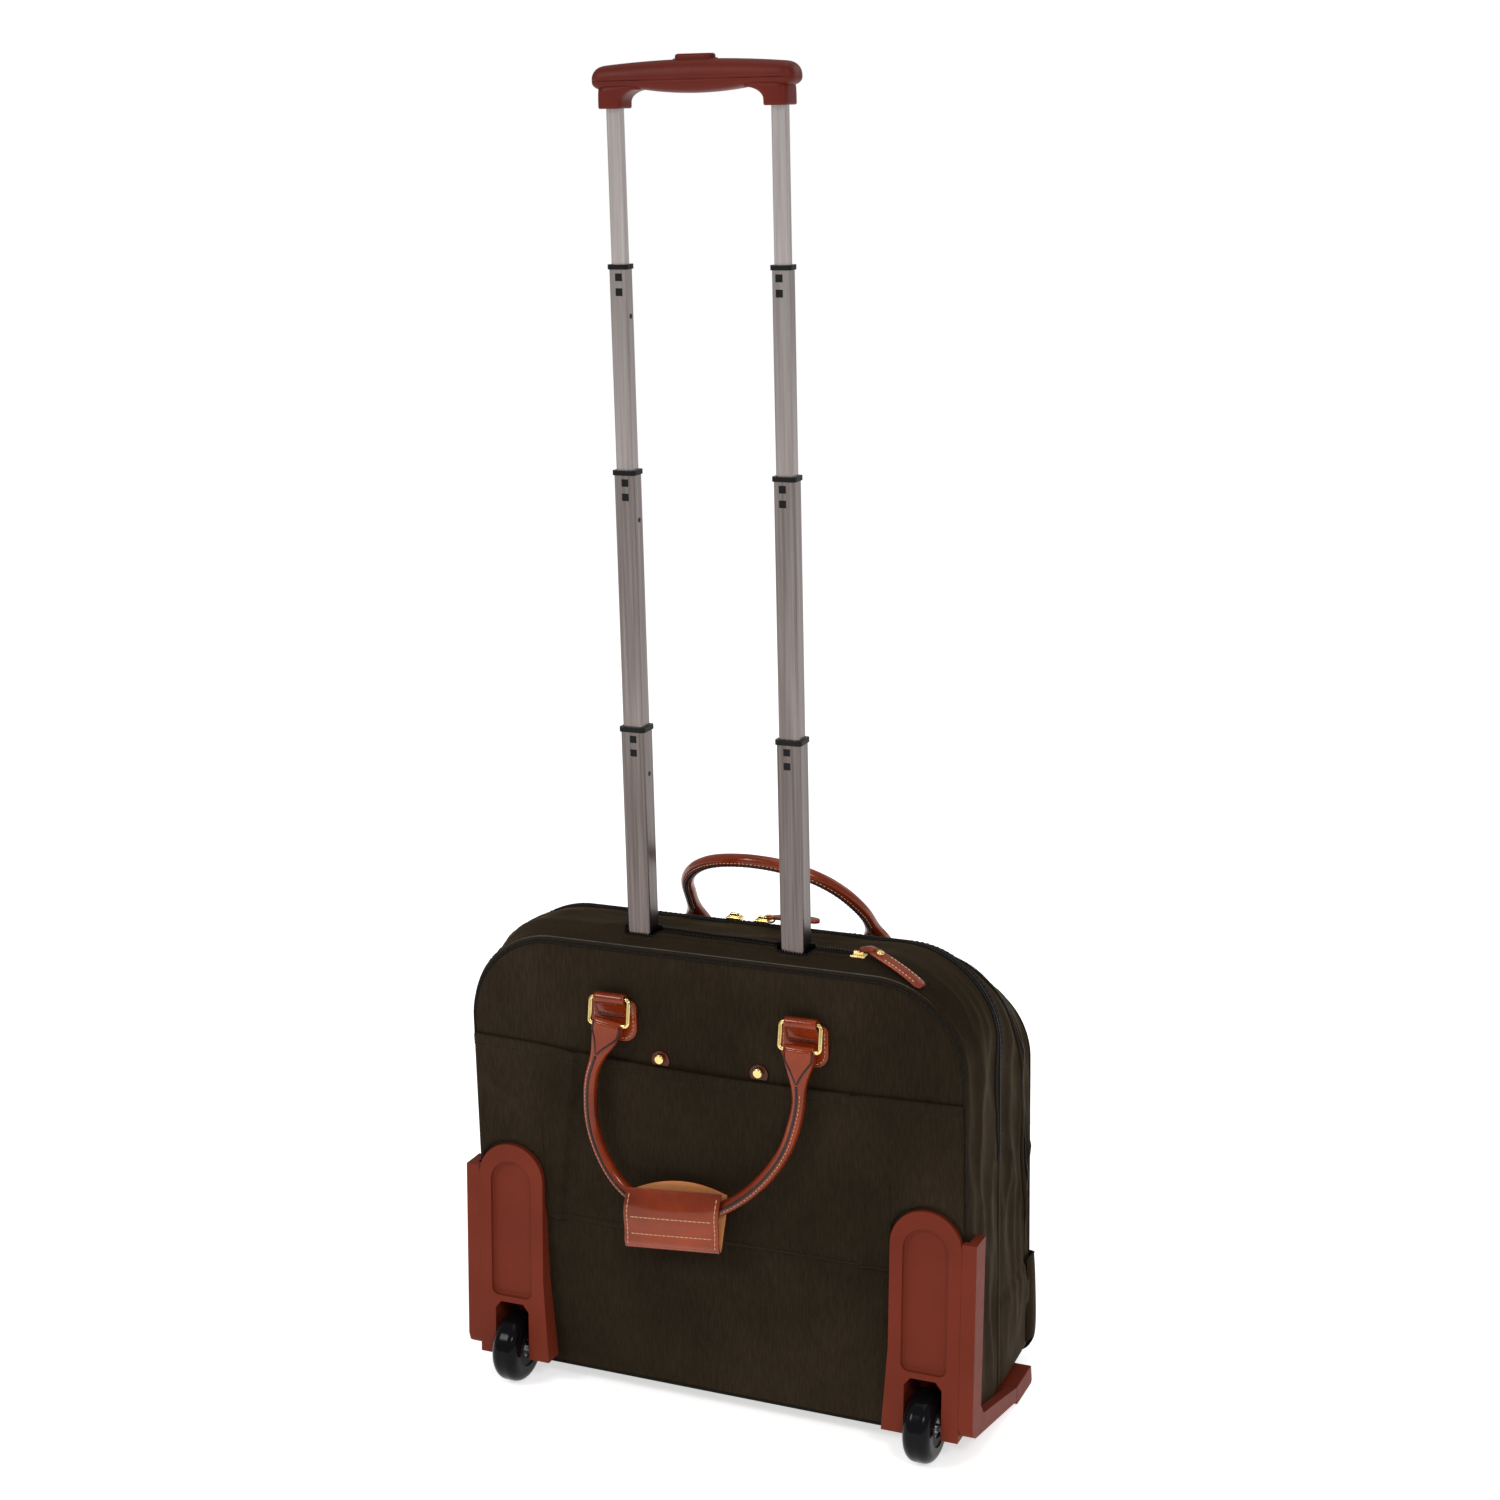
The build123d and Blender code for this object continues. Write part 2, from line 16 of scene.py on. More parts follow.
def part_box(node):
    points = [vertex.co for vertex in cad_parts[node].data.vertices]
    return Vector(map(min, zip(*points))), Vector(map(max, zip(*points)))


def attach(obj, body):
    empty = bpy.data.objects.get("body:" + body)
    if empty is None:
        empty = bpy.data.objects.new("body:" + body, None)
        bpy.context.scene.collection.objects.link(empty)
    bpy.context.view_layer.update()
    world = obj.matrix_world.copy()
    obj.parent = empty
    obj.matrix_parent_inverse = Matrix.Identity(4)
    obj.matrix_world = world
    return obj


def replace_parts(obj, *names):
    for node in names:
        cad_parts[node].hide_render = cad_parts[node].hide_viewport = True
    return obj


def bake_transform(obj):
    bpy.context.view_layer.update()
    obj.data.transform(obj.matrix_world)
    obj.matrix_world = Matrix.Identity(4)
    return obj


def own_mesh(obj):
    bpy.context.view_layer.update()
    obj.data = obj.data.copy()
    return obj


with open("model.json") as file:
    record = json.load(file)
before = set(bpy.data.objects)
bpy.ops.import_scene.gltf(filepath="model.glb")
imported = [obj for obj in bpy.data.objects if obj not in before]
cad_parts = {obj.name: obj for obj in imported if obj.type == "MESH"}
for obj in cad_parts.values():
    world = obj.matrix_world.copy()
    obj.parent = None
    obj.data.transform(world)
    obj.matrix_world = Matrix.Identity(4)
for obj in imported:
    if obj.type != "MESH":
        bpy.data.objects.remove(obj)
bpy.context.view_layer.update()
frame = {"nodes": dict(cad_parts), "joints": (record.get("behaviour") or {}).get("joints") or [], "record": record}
NODES = frame["nodes"]
SCENE = bpy.context.scene

# ---- the frame's own measures ----
MM = 0.001
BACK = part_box("back_panel")[0].y


def metres(p):
    return Vector((p[0] * MM, BACK + p[1] * MM, p[2] * MM))


def case_box(node):
    """Lowest and highest corner of a CAD node as (x, depth, z) in millimetres."""
    return [Vector((c.x / MM, (c.y - BACK) / MM, c.z / MM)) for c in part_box(node)]


BAG_BOTTOM = case_box("rear_gusset")[0].z
LOW_RADIUS = 12.0
LID_SPLIT = case_box("main_zip_lid_tape")[0].z
PANEL_DEPTH = case_box("lid_front_panel")[1].y
ZIP_DEPTH = case_box("main_zip_lid_tape")[0].y - 0.2
WHEEL_X = (case_box("wheel_tyre_right")[0].x + case_box("wheel_tyre_right")[1].x) / 2


# ---- small maths ----
def smooth(t):
    t = min(1.0, max(0.0, t))
    return t * t * (3 - 2 * t)


def table(stations, d):
    """Catmull-Rom value of a table of (position, value, ...) rows at d."""
    last = len(stations) - 1
    i = max(k for k in range(last) if stations[k][0] <= d or k == 0)
    a, b = stations[max(i - 1, 0)], stations[i]
    c, e = stations[i + 1], stations[min(i + 2, last)]
    t = min(1.0, max(0.0, (d - b[0]) / (c[0] - b[0])))
    values = []
    for k in range(1, len(b)):
        m0 = (c[k] - a[k]) / (c[0] - a[0]) * (c[0] - b[0])
        m1 = (e[k] - b[k]) / (e[0] - b[0]) * (c[0] - b[0])
        h = (2 * t ** 3 - 3 * t ** 2 + 1) * b[k] + (t ** 3 - 2 * t ** 2 + t) * m0
        values.append(h + (3 * t ** 2 - 2 * t ** 3) * c[k] + (t ** 3 - t ** 2) * m1)
    return values


def steps(a, b, count):
    return [a + (b - a) * i / count for i in range(count + 1)]


def ripple(u, v, seed):
    return noise.noise(Vector((u, v, seed)))


def crease(u, v, seed):
    """Noise with soft ridges, from 0 to 1."""
    return (1 - abs(ripple(u, v, seed))) ** 3


def soft_path(points, rounds=4):
    """Smooth curve guided by control points, by cutting their corners."""
    points = [Vector(p) for p in points]
    for _ in range(rounds):
        cut = [points[0]]
        for a, b in zip(points, points[1:]):
            cut += [a.lerp(b, 0.25), a.lerp(b, 0.75)]
        points = cut + [points[-1]]
    return points


def spaced(path, pitch):
    """Points a pitch apart along a path, with the tangent at each."""
    total = sum((b - a).length for a, b in zip(path, path[1:]))
    count = max(1, round(total / pitch))
    step, out, walked, target = total / count, [], 0.0, 0.0
    for a, b in zip(path, path[1:]):
        length = (b - a).length
        while length > 0 and target <= walked + length + 1e-6 and len(out) <= count:
            out.append((a.lerp(b, (target - walked) / length), (b - a).normalized()))
            target += step
        walked += length
    return out


CORNER_STEPS = 6


def rounded(points, radii):
    """Closed outline of (a, b) points with each corner rounded to its radius."""
    out = []
    for i, p in enumerate(points):
        p, before, after = Vector(p), Vector(points[i - 1]), Vector(points[(i + 1) % len(points)])
        u, v = (before - p).normalized(), (after - p).normalized()
        half = u.angle(v) / 2
        cut = radii[i] / math.tan(half)
        centre = p + (u + v).normalized() * (radii[i] / math.sin(half))
        start, end = p + u * cut, p + v * cut
        for share in steps(0, 1, CORNER_STEPS):
            out.append(centre + (start.lerp(end, share) - centre).normalized() * radii[i])
    return [tuple(q) for q in out]


# ---- mesh helpers ----
def grid(rows, wrap=False, keep=lambda row, column: True):
    wide = len(rows[0])
    points = [p for row in rows for p in row]
    faces = []
    for r in range(len(rows) - 1):
        for c in range(wide if wrap else wide - 1):
            if keep(r, c):
                d = (c + 1) % wide
                faces.append((r * wide + c, r * wide + d, (r + 1) * wide + d, (r + 1) * wide + c))
    return points, faces


def make(name, shape, material, body=None, inside=None):
    """Object from (points, faces). Its faces turn away from the inside point, if one is given."""
    points, faces = shape
    mesh = bpy.data.meshes.new(name)
    mesh.from_pydata([metres(p) for p in points], [], faces)
    bm = bmesh.new()
    bm.from_mesh(mesh)
    bmesh.ops.delete(bm, geom=[v for v in bm.verts if not v.link_faces], context="VERTS")
    bmesh.ops.recalc_face_normals(bm, faces=bm.faces)
    if inside is not None:
        centre = metres(inside)
        away = sum(f.normal.dot(f.calc_center_median() - centre) * f.calc_area() for f in bm.faces)
        if away < 0:
            bmesh.ops.reverse_faces(bm, faces=bm.faces)
    bm.to_mesh(mesh)
    bm.free()
    mesh.shade_smooth()
    mesh.materials.append(material)
    obj = bpy.data.objects.new(name, mesh)
    SCENE.collection.objects.link(obj)
    if body:
        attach(obj, body)
    return obj


def fold(obj):
    """Fabric of the front half: bakes its transform into its mesh."""
    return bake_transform(obj)


def hold(obj, folds):
    """Fabric of the front half, with its transform baked in, or else fabric that rides on the case."""
    if folds:
        return fold(obj)
    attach(obj, "case")
    return obj


def thicken(obj, thickness, lining=None):
    solid = obj.modifiers.new("thickness", "SOLIDIFY")
    solid.thickness = thickness * MM
    solid.offset = -1
    if lining:
        obj.data.materials.append(lining)
        solid.material_offset = 1
    return obj


def bevel(obj, width, segments=3, angle=35):
    edge = obj.modifiers.new("soft_edges", "BEVEL")
    edge.width = width * MM
    edge.segments = segments
    edge.limit_method = "ANGLE"
    edge.angle_limit = math.radians(angle)
    obj.modifiers.new("shading", "WEIGHTED_NORMAL")


def soften(node, width):
    """Rounds the edges of a CAD node as moulding does, without touching its mesh."""
    obj = NODES[node]
    weld = obj.modifiers.new("weld", "WELD")
    weld.merge_threshold = 0.01 * MM
    flat = obj.modifiers.new("flat", "DECIMATE")
    flat.decimate_type = "DISSOLVE"
    flat.angle_limit = math.radians(1.0)
    bevel(obj, width)


def plate(outline, thickness):
    """Flat plate of an (a, b) outline; its local height runs from 0 to the thickness."""
    count = len(outline)
    points = [(a, b, 0.0) for a, b in outline] + [(a, b, thickness) for a, b in outline]
    faces = [tuple(range(count)), tuple(range(2 * count - 1, count - 1, -1))]
    faces += [(i, (i + 1) % count, count + (i + 1) % count, count + i) for i in range(count)]
    return points, faces


def placed(shape, place):
    points, faces = shape
    return [place(*p) for p in points], faces


def joined(shapes):
    points, faces = [], []
    for more_points, more_faces in shapes:
        base = len(points)
        points += more_points
        faces += [tuple(base + i for i in face) for face in more_faces]
    return points, faces


def capped(rows):
    """Tube through rings of points, with a flat face over each end."""
    points, faces = grid(rows, True)
    wide, count = len(rows[0]), len(points)
    return points, faces + [tuple(range(wide)), tuple(range(count - 1, count - wide - 1, -1))]


def sweep(path, normals, section):
    """Closed tube along a path. section(i) gives (side, out) offsets round point i."""
    rows = []
    for i, p in enumerate(path):
        ahead, behind = path[min(i + 1, len(path) - 1)], path[max(i - 1, 0)]
        tangent = (ahead - behind).normalized()
        side = tangent.cross(normals[i]).normalized()
        out = side.cross(tangent)
        rows.append([tuple(p + side * a + out * b) for a, b in section(i)])
    return capped(rows)


def circle(degrees):
    return math.cos(math.radians(degrees)), math.sin(math.radians(degrees))


def squared(value, power):
    """Cosine or sine of an angle, pushed outwards as on an oval with that power."""
    return math.copysign(abs(value) ** (2 / power), value)


def oval(half_a, half_b, power, count):
    angles = [circle(360 * i / count) for i in range(count)]
    return [(squared(c, power) * half_a, squared(v, power) * half_b) for c, v in angles]


def closed_tube(path, radius, count=8):
    rows = []
    for i, p in enumerate(path):
        tangent = (path[(i + 1) % len(path)] - path[i - 1]).normalized()
        side = tangent.cross(Vector((0, 1, 0))).normalized()
        out = side.cross(tangent)
        rows.append([tuple(p + side * a + out * b) for a, b in oval(radius, radius, 2, count)])
    return grid([*rows, rows[0]], True)


STITCH_PITCH, STITCH_LENGTH, STITCH_RADIUS = 3.4, 2.5, 0.34
STITCH_SINK = 0.25     # how deep a stitch's ends dip into the cloth
STITCH_TAPER = [(-1, 0.25), (-0.7, 0.85), (0, 1.0), (0.7, 0.85), (1, 0.25)]     # (place, thickness)


def stitches(path, normal, pitch=STITCH_PITCH, size=1.0):
    """Row of separate stitches lying along a path; normal is one vector or a function of the point."""
    half, radius = STITCH_LENGTH * size / 2, STITCH_RADIUS * size
    shapes = []
    for p, along in spaced([Vector(q) for q in path], pitch)[1:-1]:
        up = Vector(normal(p) if callable(normal) else normal).normalized()
        across = along.cross(up).normalized()
        rows = []
        for place, share in STITCH_TAPER:
            middle = p + along * (half * place) - up * (STITCH_SINK * place ** 2)
            ring = oval(radius * share, radius * share, 2, 6)
            rows.append([tuple(middle + across * a + up * b) for a, b in ring])
        shapes.append(capped(rows))
    return joined(shapes)


# ---- materials ----
def srgb(r, g, b):
    def linear(c):
        c /= 255
        return c / 12.92 if c <= 0.04045 else ((c + 0.055) / 1.055) ** 2.4
    return (linear(r), linear(g), linear(b), 1.0)


WHITE = (1.0, 1.0, 1.0, 1.0)


class Finish:
    """A Principled material, with short calls for the nodes that vary it over the surface."""

    def __init__(self, name, roughness, **sockets):
        self.material = bpy.data.materials.new(name)
        self.material.use_nodes = True
        self.tree = self.material.node_tree
        self.shader = self.tree.nodes["Principled BSDF"]
        self.shader.inputs["Roughness"].default_value = roughness
        for socket, value in sockets.items():
            self.shader.inputs[socket.replace("_", " ")].default_value = value
        self.normal = None

    def node(self, kind, **values):
        node = self.tree.nodes.new("ShaderNode" + kind)
        for key, value in values.items():
            node.inputs[key].default_value = value
        return node

    def link(self, output, target):
        self.tree.links.new(output, target)

    def texture(self, kind, output, stretch=(1, 1, 1), turn=(0, 0, 0), **values):
        """Procedural texture over the object's coordinates in metres, stretched and turned."""
        coordinates = self.node("TexCoord")
        mapping = self.node("Mapping", Scale=stretch, Rotation=turn)
        self.link(coordinates.outputs["Object"], mapping.inputs["Vector"])
        node = self.node(kind, **values)
        self.link(mapping.outputs["Vector"], node.inputs["Vector"])
        return node.outputs[output]

    def noise(self, scale, detail=3.0, stretch=(1, 1, 1)):
        return self.texture("TexNoise", "Fac", stretch, Scale=scale, Detail=detail)

    def cells(self, scale):
        return self.texture("TexVoronoi", "Distance", Scale=scale)

    def bands(self, scale, axis, turn=(0, 0, 0)):
        output = self.texture("TexWave", "Fac", turn=turn, Scale=scale)
        output.node.bands_direction = axis
        return output

    def ramp(self, factor, dark, light, low=0.3, high=0.7):
        """Two tones, with the factor's values from low to high spread between them."""
        node = self.node("ValToRGB")
        for element, position, tone in zip(node.color_ramp.elements, (low, high), (dark, light)):
            element.position = position
            element.color = tone
        self.link(factor, node.inputs["Fac"])
        return node.outputs["Color"]

    def colour(self, output):
        self.link(output, self.shader.inputs["Base Color"])
        return self

    def roughness(self, factor, low, high):
        node = self.node("MapRange")
        node.inputs["To Min"].default_value = low
        node.inputs["To Max"].default_value = high
        self.link(factor, node.inputs["Value"])
        self.link(node.outputs["Result"], self.shader.inputs["Roughness"])
        return self

    def bump(self, height, distance, strength=1.0):
        """Adds relief of that height in millimetres."""
        node = self.node("Bump", Strength=strength, Distance=distance * MM)
        self.link(height, node.inputs["Height"])
        if self.normal:
            self.link(self.normal, node.inputs["Normal"])
        self.normal = node.outputs["Normal"]
        self.link(self.normal, self.shader.inputs["Normal"])
        return self

    def multiply(self, a, b):
        node = self.node("Mix")
        node.data_type = "RGBA"
        node.blend_type = "MULTIPLY"
        node.inputs["Factor"].default_value = 1.0
        self.link(a, node.inputs["A"])
        self.link(b, node.inputs["B"])
        return node.outputs["Result"]


def nylon_finish():
    f = Finish("nylon", 0.5, Sheen_Weight=0.12, Sheen_Roughness=0.4, Sheen_Tint=srgb(160, 128, 76),
               Specular_IOR_Level=0.008)
    tone = f.ramp(f.noise(9, 4), srgb(34, 27, 19), srgb(47, 39, 29))
    thread = f.ramp(f.noise(900, 1, (1, 1, 0.12)), srgb(225, 225, 225), WHITE, 0.35, 0.65)
    f.colour(f.multiply(tone, thread))
    f.roughness(f.noise(40, 3), 0.46, 0.64)
    f.bump(f.bands(380, "Z"), 0.05, 0.6)
    return f.bump(f.bands(380, "DIAGONAL", (0, 0, math.radians(90))), 0.05, 0.6).material


def lining_finish():
    f = Finish("lining", 0.8, Sheen_Weight=0.03, Specular_IOR_Level=0.08)
    f.colour(f.ramp(f.noise(60, 3), srgb(24, 22, 19), srgb(36, 33, 28)))
    return f.bump(f.bands(300, "Z"), 0.06).material


def tape_finish():
    f = Finish("zip_tape", 0.8, Specular_IOR_Level=0.1)
    f.colour(f.ramp(f.noise(400, 2), srgb(15, 12, 9), srgb(28, 24, 19)))
    return f.bump(f.bands(500, "DIAGONAL"), 0.08).material


def plastic_finish(name, dark, light, roughness, grain):
    f = Finish(name, roughness, Specular_IOR_Level=0.1)
    f.colour(f.ramp(f.noise(14, 4), dark, light, 0.3, 0.72))
    f.roughness(f.noise(120, 3), roughness - 0.05, roughness + 0.08)
    f.bump(f.noise(1100, 2), grain)
    return f.bump(f.cells(700), grain * 0.6).material


def aluminium_finish(name, tone):
    f = Finish(name, 0.3, Metallic=1.0, Anisotropic=0.4)
    dark, light = srgb(tone, tone - 9, tone - 12), srgb(tone + 24, tone + 15, tone + 12)
    f.colour(f.ramp(f.noise(500, 2, (1, 1, 0.02)), dark, light))
    f.roughness(f.noise(1500, 2, (1, 1, 0.01)), 0.24, 0.4)
    return f.bump(f.noise(2500, 1, (1, 1, 0.008)), 0.012).material


def steel_finish():
    f = Finish("steel", 0.3, Metallic=1.0)
    f.colour(f.ramp(f.noise(200, 3), srgb(150, 150, 150), srgb(180, 180, 178)))
    return f.roughness(f.noise(900, 2), 0.22, 0.38).material


def brass_finish():
    f = Finish("brass", 0.18, Metallic=1.0)
    f.colour(f.ramp(f.noise(120, 3), srgb(214, 178, 104), srgb(240, 214, 150)))
    f.roughness(f.noise(600, 3), 0.12, 0.28)
    return f.bump(f.noise(1800, 2), 0.01).material


def leather_finish(name, dark, light, roughness, coat):
    f = Finish(name, roughness, Coat_Weight=coat, Coat_Roughness=0.1, Coat_Tint=srgb(255, 214, 180),
               Specular_IOR_Level=0.3, Specular_Tint=srgb(255, 190, 140))
    tone = f.ramp(f.noise(26, 5), dark, light, 0.25, 0.75)
    pores = f.ramp(f.cells(900), srgb(215, 205, 200), WHITE, 0.0, 0.4)
    f.colour(f.multiply(tone, pores))
    f.roughness(f.noise(70, 4), roughness - 0.08, roughness + 0.12)
    f.bump(f.noise(160, 4), 0.12)
    return f.bump(f.cells(900), 0.05, 0.8).material


def thread_finish(name, dark, light):
    f = Finish(name, 0.7, Specular_IOR_Level=0.2)
    f.colour(f.ramp(f.noise(700, 2), dark, light))
    return f.bump(f.bands(1800, "DIAGONAL"), 0.05).material


def board_finish():
    f = Finish("board", 0.7)
    f.colour(f.ramp(f.noise(80, 3), srgb(48, 47, 45), srgb(66, 64, 60)))
    return f.bump(f.noise(500, 3), 0.05).material


def floor_finish():
    f = Finish("floor", 0.6, Specular_IOR_Level=0.1, Emission_Strength=0.6, Emission_Color=WHITE)
    return f.colour(f.ramp(f.noise(3, 3), srgb(246, 246, 245), srgb(250, 250, 249))).material


NYLON = nylon_finish()
LINING = lining_finish()
TAPE = tape_finish()
HOUSING = plastic_finish("housing_plastic", srgb(99, 36, 21), srgb(110, 42, 25), 0.5, 0.035)
GRIP = plastic_finish("grip_plastic", srgb(82, 26, 18), srgb(94, 32, 23), 0.4, 0.03)
BLACK = plastic_finish("black_plastic", srgb(18, 18, 19), srgb(28, 28, 29), 0.45, 0.02)
TYRE = plastic_finish("wheel_black", srgb(7, 7, 9), srgb(12, 12, 15), 0.12, 0.004)
ALUMINIUM = aluminium_finish("tube_aluminium", 92)
STAGE_HIGHLIGHT_TONES = {2: 112, 3: 146, 4: 184}      # painted highlight: the inner tubes, higher up, are painted brighter than the outer tube's tone of 92, for the light they catch
STEEL = steel_finish()
BRASS = brass_finish()
LEATHER = leather_finish("leather", srgb(84, 24, 8), srgb(136, 52, 20), 0.26, 0.42)
EDGE = leather_finish("edge_paint", srgb(20, 20, 27), srgb(34, 34, 44), 0.4, 0.2)
DARK_LEATHER = leather_finish("dark_leather", srgb(46, 11, 6), srgb(70, 20, 10), 0.35, 0.3)
SUEDE = leather_finish("suede", srgb(182, 118, 70), srgb(205, 142, 92), 0.75, 0.0)
THREAD = thread_finish("thread", srgb(176, 128, 96), srgb(206, 164, 130))
PALE_THREAD = thread_finish("pale_thread", srgb(200, 176, 150), srgb(228, 208, 186))
DARK_THREAD = thread_finish("dark_thread", srgb(27, 21, 14), srgb(38, 31, 22))
BOARD = board_finish()

# ---- CAD nodes that stay: each gets its finish, and moulded or turned parts get softer edges ----
FINISH_OF_SLOT = {
    "nylon": NYLON, "lining": LINING, "zip_tape": TAPE, "housing_plastic": HOUSING, "grip_plastic": GRIP,
    "black_plastic": BLACK, "tube_aluminium": ALUMINIUM, "steel": STEEL, "wheel_black": TYRE,
    "leather": LEATHER, "brass": BRASS, "board": BOARD,
}
for part in frame["record"]["subparts"]:
    node = NODES[part["node"]]
    node.data.materials.clear()
    node.data.materials.append(FINISH_OF_SLOT[part["material_slot"]])
NODES["stud_washers"].data.materials[0] = DARK_LEATHER
# painted highlight: each inner stage gets its own brighter copy of the tube finish, tube_aluminium_2 to _4
for stage, tone in STAGE_HIGHLIGHT_TONES.items():
    NODES[f"stage_{stage}_tubes"].data.materials[0] = aluminium_finish(f"tube_aluminium_{stage}", tone)

SOFT_EDGES = {         # width of the rounding in millimetres
    "wheel_housing_left": 1.6, "wheel_housing_right": 1.6, "side_rail_left": 2.2, "side_rail_right": 2.2,
    "feet": 0.8, "pocket_studs": 0.4, "stud_washers": 0.3, "fixed_tube_collars": 0.3,
    "lower_tube_bracket": 1.0, "upper_tube_bracket": 1.0,
    "main_slider_left": 0.6, "main_slider_right": 0.6, "slot_slider": 0.6,
}
for name, width in SOFT_EDGES.items():
    soften(name, width)

# ---- the bag's skin ----
# depth: half width, top and top corner radius of the bag's outline there
PROFILE = [
    (0, 203.6, 374.5, 71), (3, 206.0, 378.5, 73), (20, 207.3, 385.5, 74), (45, 207.3, 385.5, 74),
    (66, 206.6, 383.5, 74), (73, 205.6, 381.5, 73), (80, 206.6, 380.0, 73), (95, 206.8, 372.5, 72),
    (109, 206.6, 363.5, 70), (130, 206.0, 349.0, 67), (150, 205.0, 335.5, 64), (157, 203.6, 330.5, 62),
    (161, 201.0, 326.5, 61),
]
BOTTOM_RUN = [*steps(0, 148, 22), 155.5, *steps(162, 188, 4), 195.0]
LOW_STEPS, SIDE_STEPS, HIGH_STEPS, TOP_STEPS = 7, 52, 24, 44


@lru_cache(maxsize=None)
def outline_at(quarters):
    half, top, high = table(PROFILE, quarters / 4)
    low = LOW_RADIUS
    right = [(x * (half - low) / BOTTOM_RUN[-1], BAG_BOTTOM) for x in BOTTOM_RUN]
    for c, v in (circle(a) for a in steps(-90, 0, LOW_STEPS)[1:-1]):
        right.append((half - low + low * c, BAG_BOTTOM + low + low * v))
    right += [(half, z) for z in steps(BAG_BOTTOM + low, top - high, SIDE_STEPS)]
    for c, v in (circle(a) for a in steps(0, 90, HIGH_STEPS)[1:-1]):
        right.append((half - high + high * c, top - high + high * v))
    right += [(x, top) for x in steps(half - high, 0, TOP_STEPS)]
    points = [Vector(p) for p in right] + [Vector((-x, z)) for x, z in right[-2:0:-1]]
    count = len(points)
    normals = []
    for i in range(count):
        run = points[(i + 1) % count] - points[i - 1]
        normals.append(Vector((run.y, -run.x)).normalized())
    arcs = [0.0]
    for a, b in zip(points, points[1:]):
        arcs.append(arcs[-1] + (b - a).length)
    return points, normals, arcs


def outline(depth):
    """Points (x, z), outward normals and run lengths round the bag, from the middle of its bottom.

    The depth counts to the nearest quarter of a millimetre.
    """
    return outline_at(round(depth * 4))


COLUMNS = len(outline(0)[0])
BAG_MIDDLE = (0, 70, 200)
SEAM_Z, LAYER_DEPTH = 97.0, 77.0       # the lower front layer reaches up and back to here on the sides


def slackness(depth):
    """How far the fabric can stand off between its seams, 0 at a seam."""
    spans = [(0, ZIP_DEPTH), (ZIP_DEPTH, PANEL_DEPTH - 3)]
    return max(smooth(min(depth - a, b - depth) / 11) for a, b in spans if a <= depth <= b or a == 0)


def wrinkle(arc, depth, x, z):
    """Soft folds that run round the bag, in millimetres outwards."""
    slack = slackness(depth)
    long_folds = 3.8 * (crease(depth / 25, arc / 130, 4.0) - 0.62)
    slanting = 2.04 * (crease(depth / 46 + arc / 58, arc / 210, 31.0) - 0.7)
    small = 0.8 * ripple(depth / 13, arc / 60, 11.0) + 0.25 * ripple(depth / 6, arc / 24, 21.0)
    side = smooth((abs(x) - 150) / 40)
    lift = slack * (long_folds * (0.35 + 0.65 * side) + (small + slanting) * (0.55 + 0.45 * side))
    if depth > LAYER_DEPTH - 2:
        lift += 1.1 * smooth((SEAM_Z - z) / 2.5) * smooth((depth - LAYER_DEPTH) / 2.5) * side
        lift -= 0.9 * math.exp(-((z - SEAM_Z - 1) / 2.0) ** 2) * side
    return lift * smooth((z - 40) / 50 + 0.35)


def skin(column, depth, lift=0.0):
    """Point of the bag's outer surface."""
    points, normals, arcs = outline(depth)
    p, n = points[column], normals[column]
    out = wrinkle(arcs[column], depth, p.x, p.y) + lift
    return (p.x + n.x * out, depth, p.y + n.y * out)


def skin_normal(column, depth):
    n = outline(depth)[1][column]
    return Vector((n.x, 0.0, n.y))


SLOT_LEFT, SLOT_RIGHT, SLOT_MIDDLE = -79.0, 113.0, 22.6
SLOT_AT_TUBE, SLOT_BETWEEN, SLOT_BEYOND = 9.2, 2.2, 1.2        # half openings
TUBE_X, TUBE_REACH = 63.4, 11.4


def slot_half(x):
    """Half opening of the handle slot at x: pushed apart round each tube and nearly closed elsewhere."""
    near_tube = 1 - smooth((abs(abs(x) - TUBE_X) - TUBE_REACH) / 5)
    apart = SLOT_BETWEEN if abs(x) < TUBE_X else SLOT_BEYOND
    half = apart + (SLOT_AT_TUBE - apart) * near_tube
    return half * smooth((x - SLOT_LEFT) / 4) * smooth((SLOT_RIGHT - x) / 12)


def slot_at(column):
    x, z = outline(20)[0][column]
    return slot_half(x) if z > 380 and SLOT_LEFT < x < SLOT_RIGHT else 0.0


WELL_DEPTH = 26.5      # the wheel wells reach this deep into the bag
WELL_HALF, WELL_TOP, WELL_SIDES = 23.0, 77.0, (153.0, 196.0)
LEAD_ROWS, REAR_ROWS, FRONT_ROWS = 9, 15, 30


def rear_shell():
    def depths(column):
        if outline(0)[0][column].y < BAG_BOTTOM + 4:
            first, second = WELL_DEPTH - 2, WELL_DEPTH
        else:
            half = slot_at(column)
            first, second = SLOT_MIDDLE - half - 0.3, SLOT_MIDDLE + half + 0.3
        lead = [first * (i / LEAD_ROWS) ** 1.3 for i in range(LEAD_ROWS + 1)]
        return lead + steps(second, ZIP_DEPTH - 0.2, REAR_ROWS)

    columns = [depths(c) for c in range(COLUMNS)]
    rows = [[skin(c, columns[c][r]) for c in range(COLUMNS)] for r in range(len(columns[0]))]

    def keep(row, column):
        following = (column + 1) % COLUMNS
        if row == LEAD_ROWS and min(slot_at(column), slot_at(following)) > 0.4:
            return False
        ends = [outline(0)[0][c] for c in (column, following)]
        in_well = all(p.y < BAG_BOTTOM + 1 and WELL_SIDES[0] < abs(p.x) < WELL_SIDES[1] for p in ends)
        return not (in_well and row <= LEAD_ROWS)

    shell = make("rear_shell", grid(rows, True, keep), NYLON, "case", inside=(0, 40, 200))
    thicken(shell, 1.4, LINING)
    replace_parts(shell, "rear_gusset")


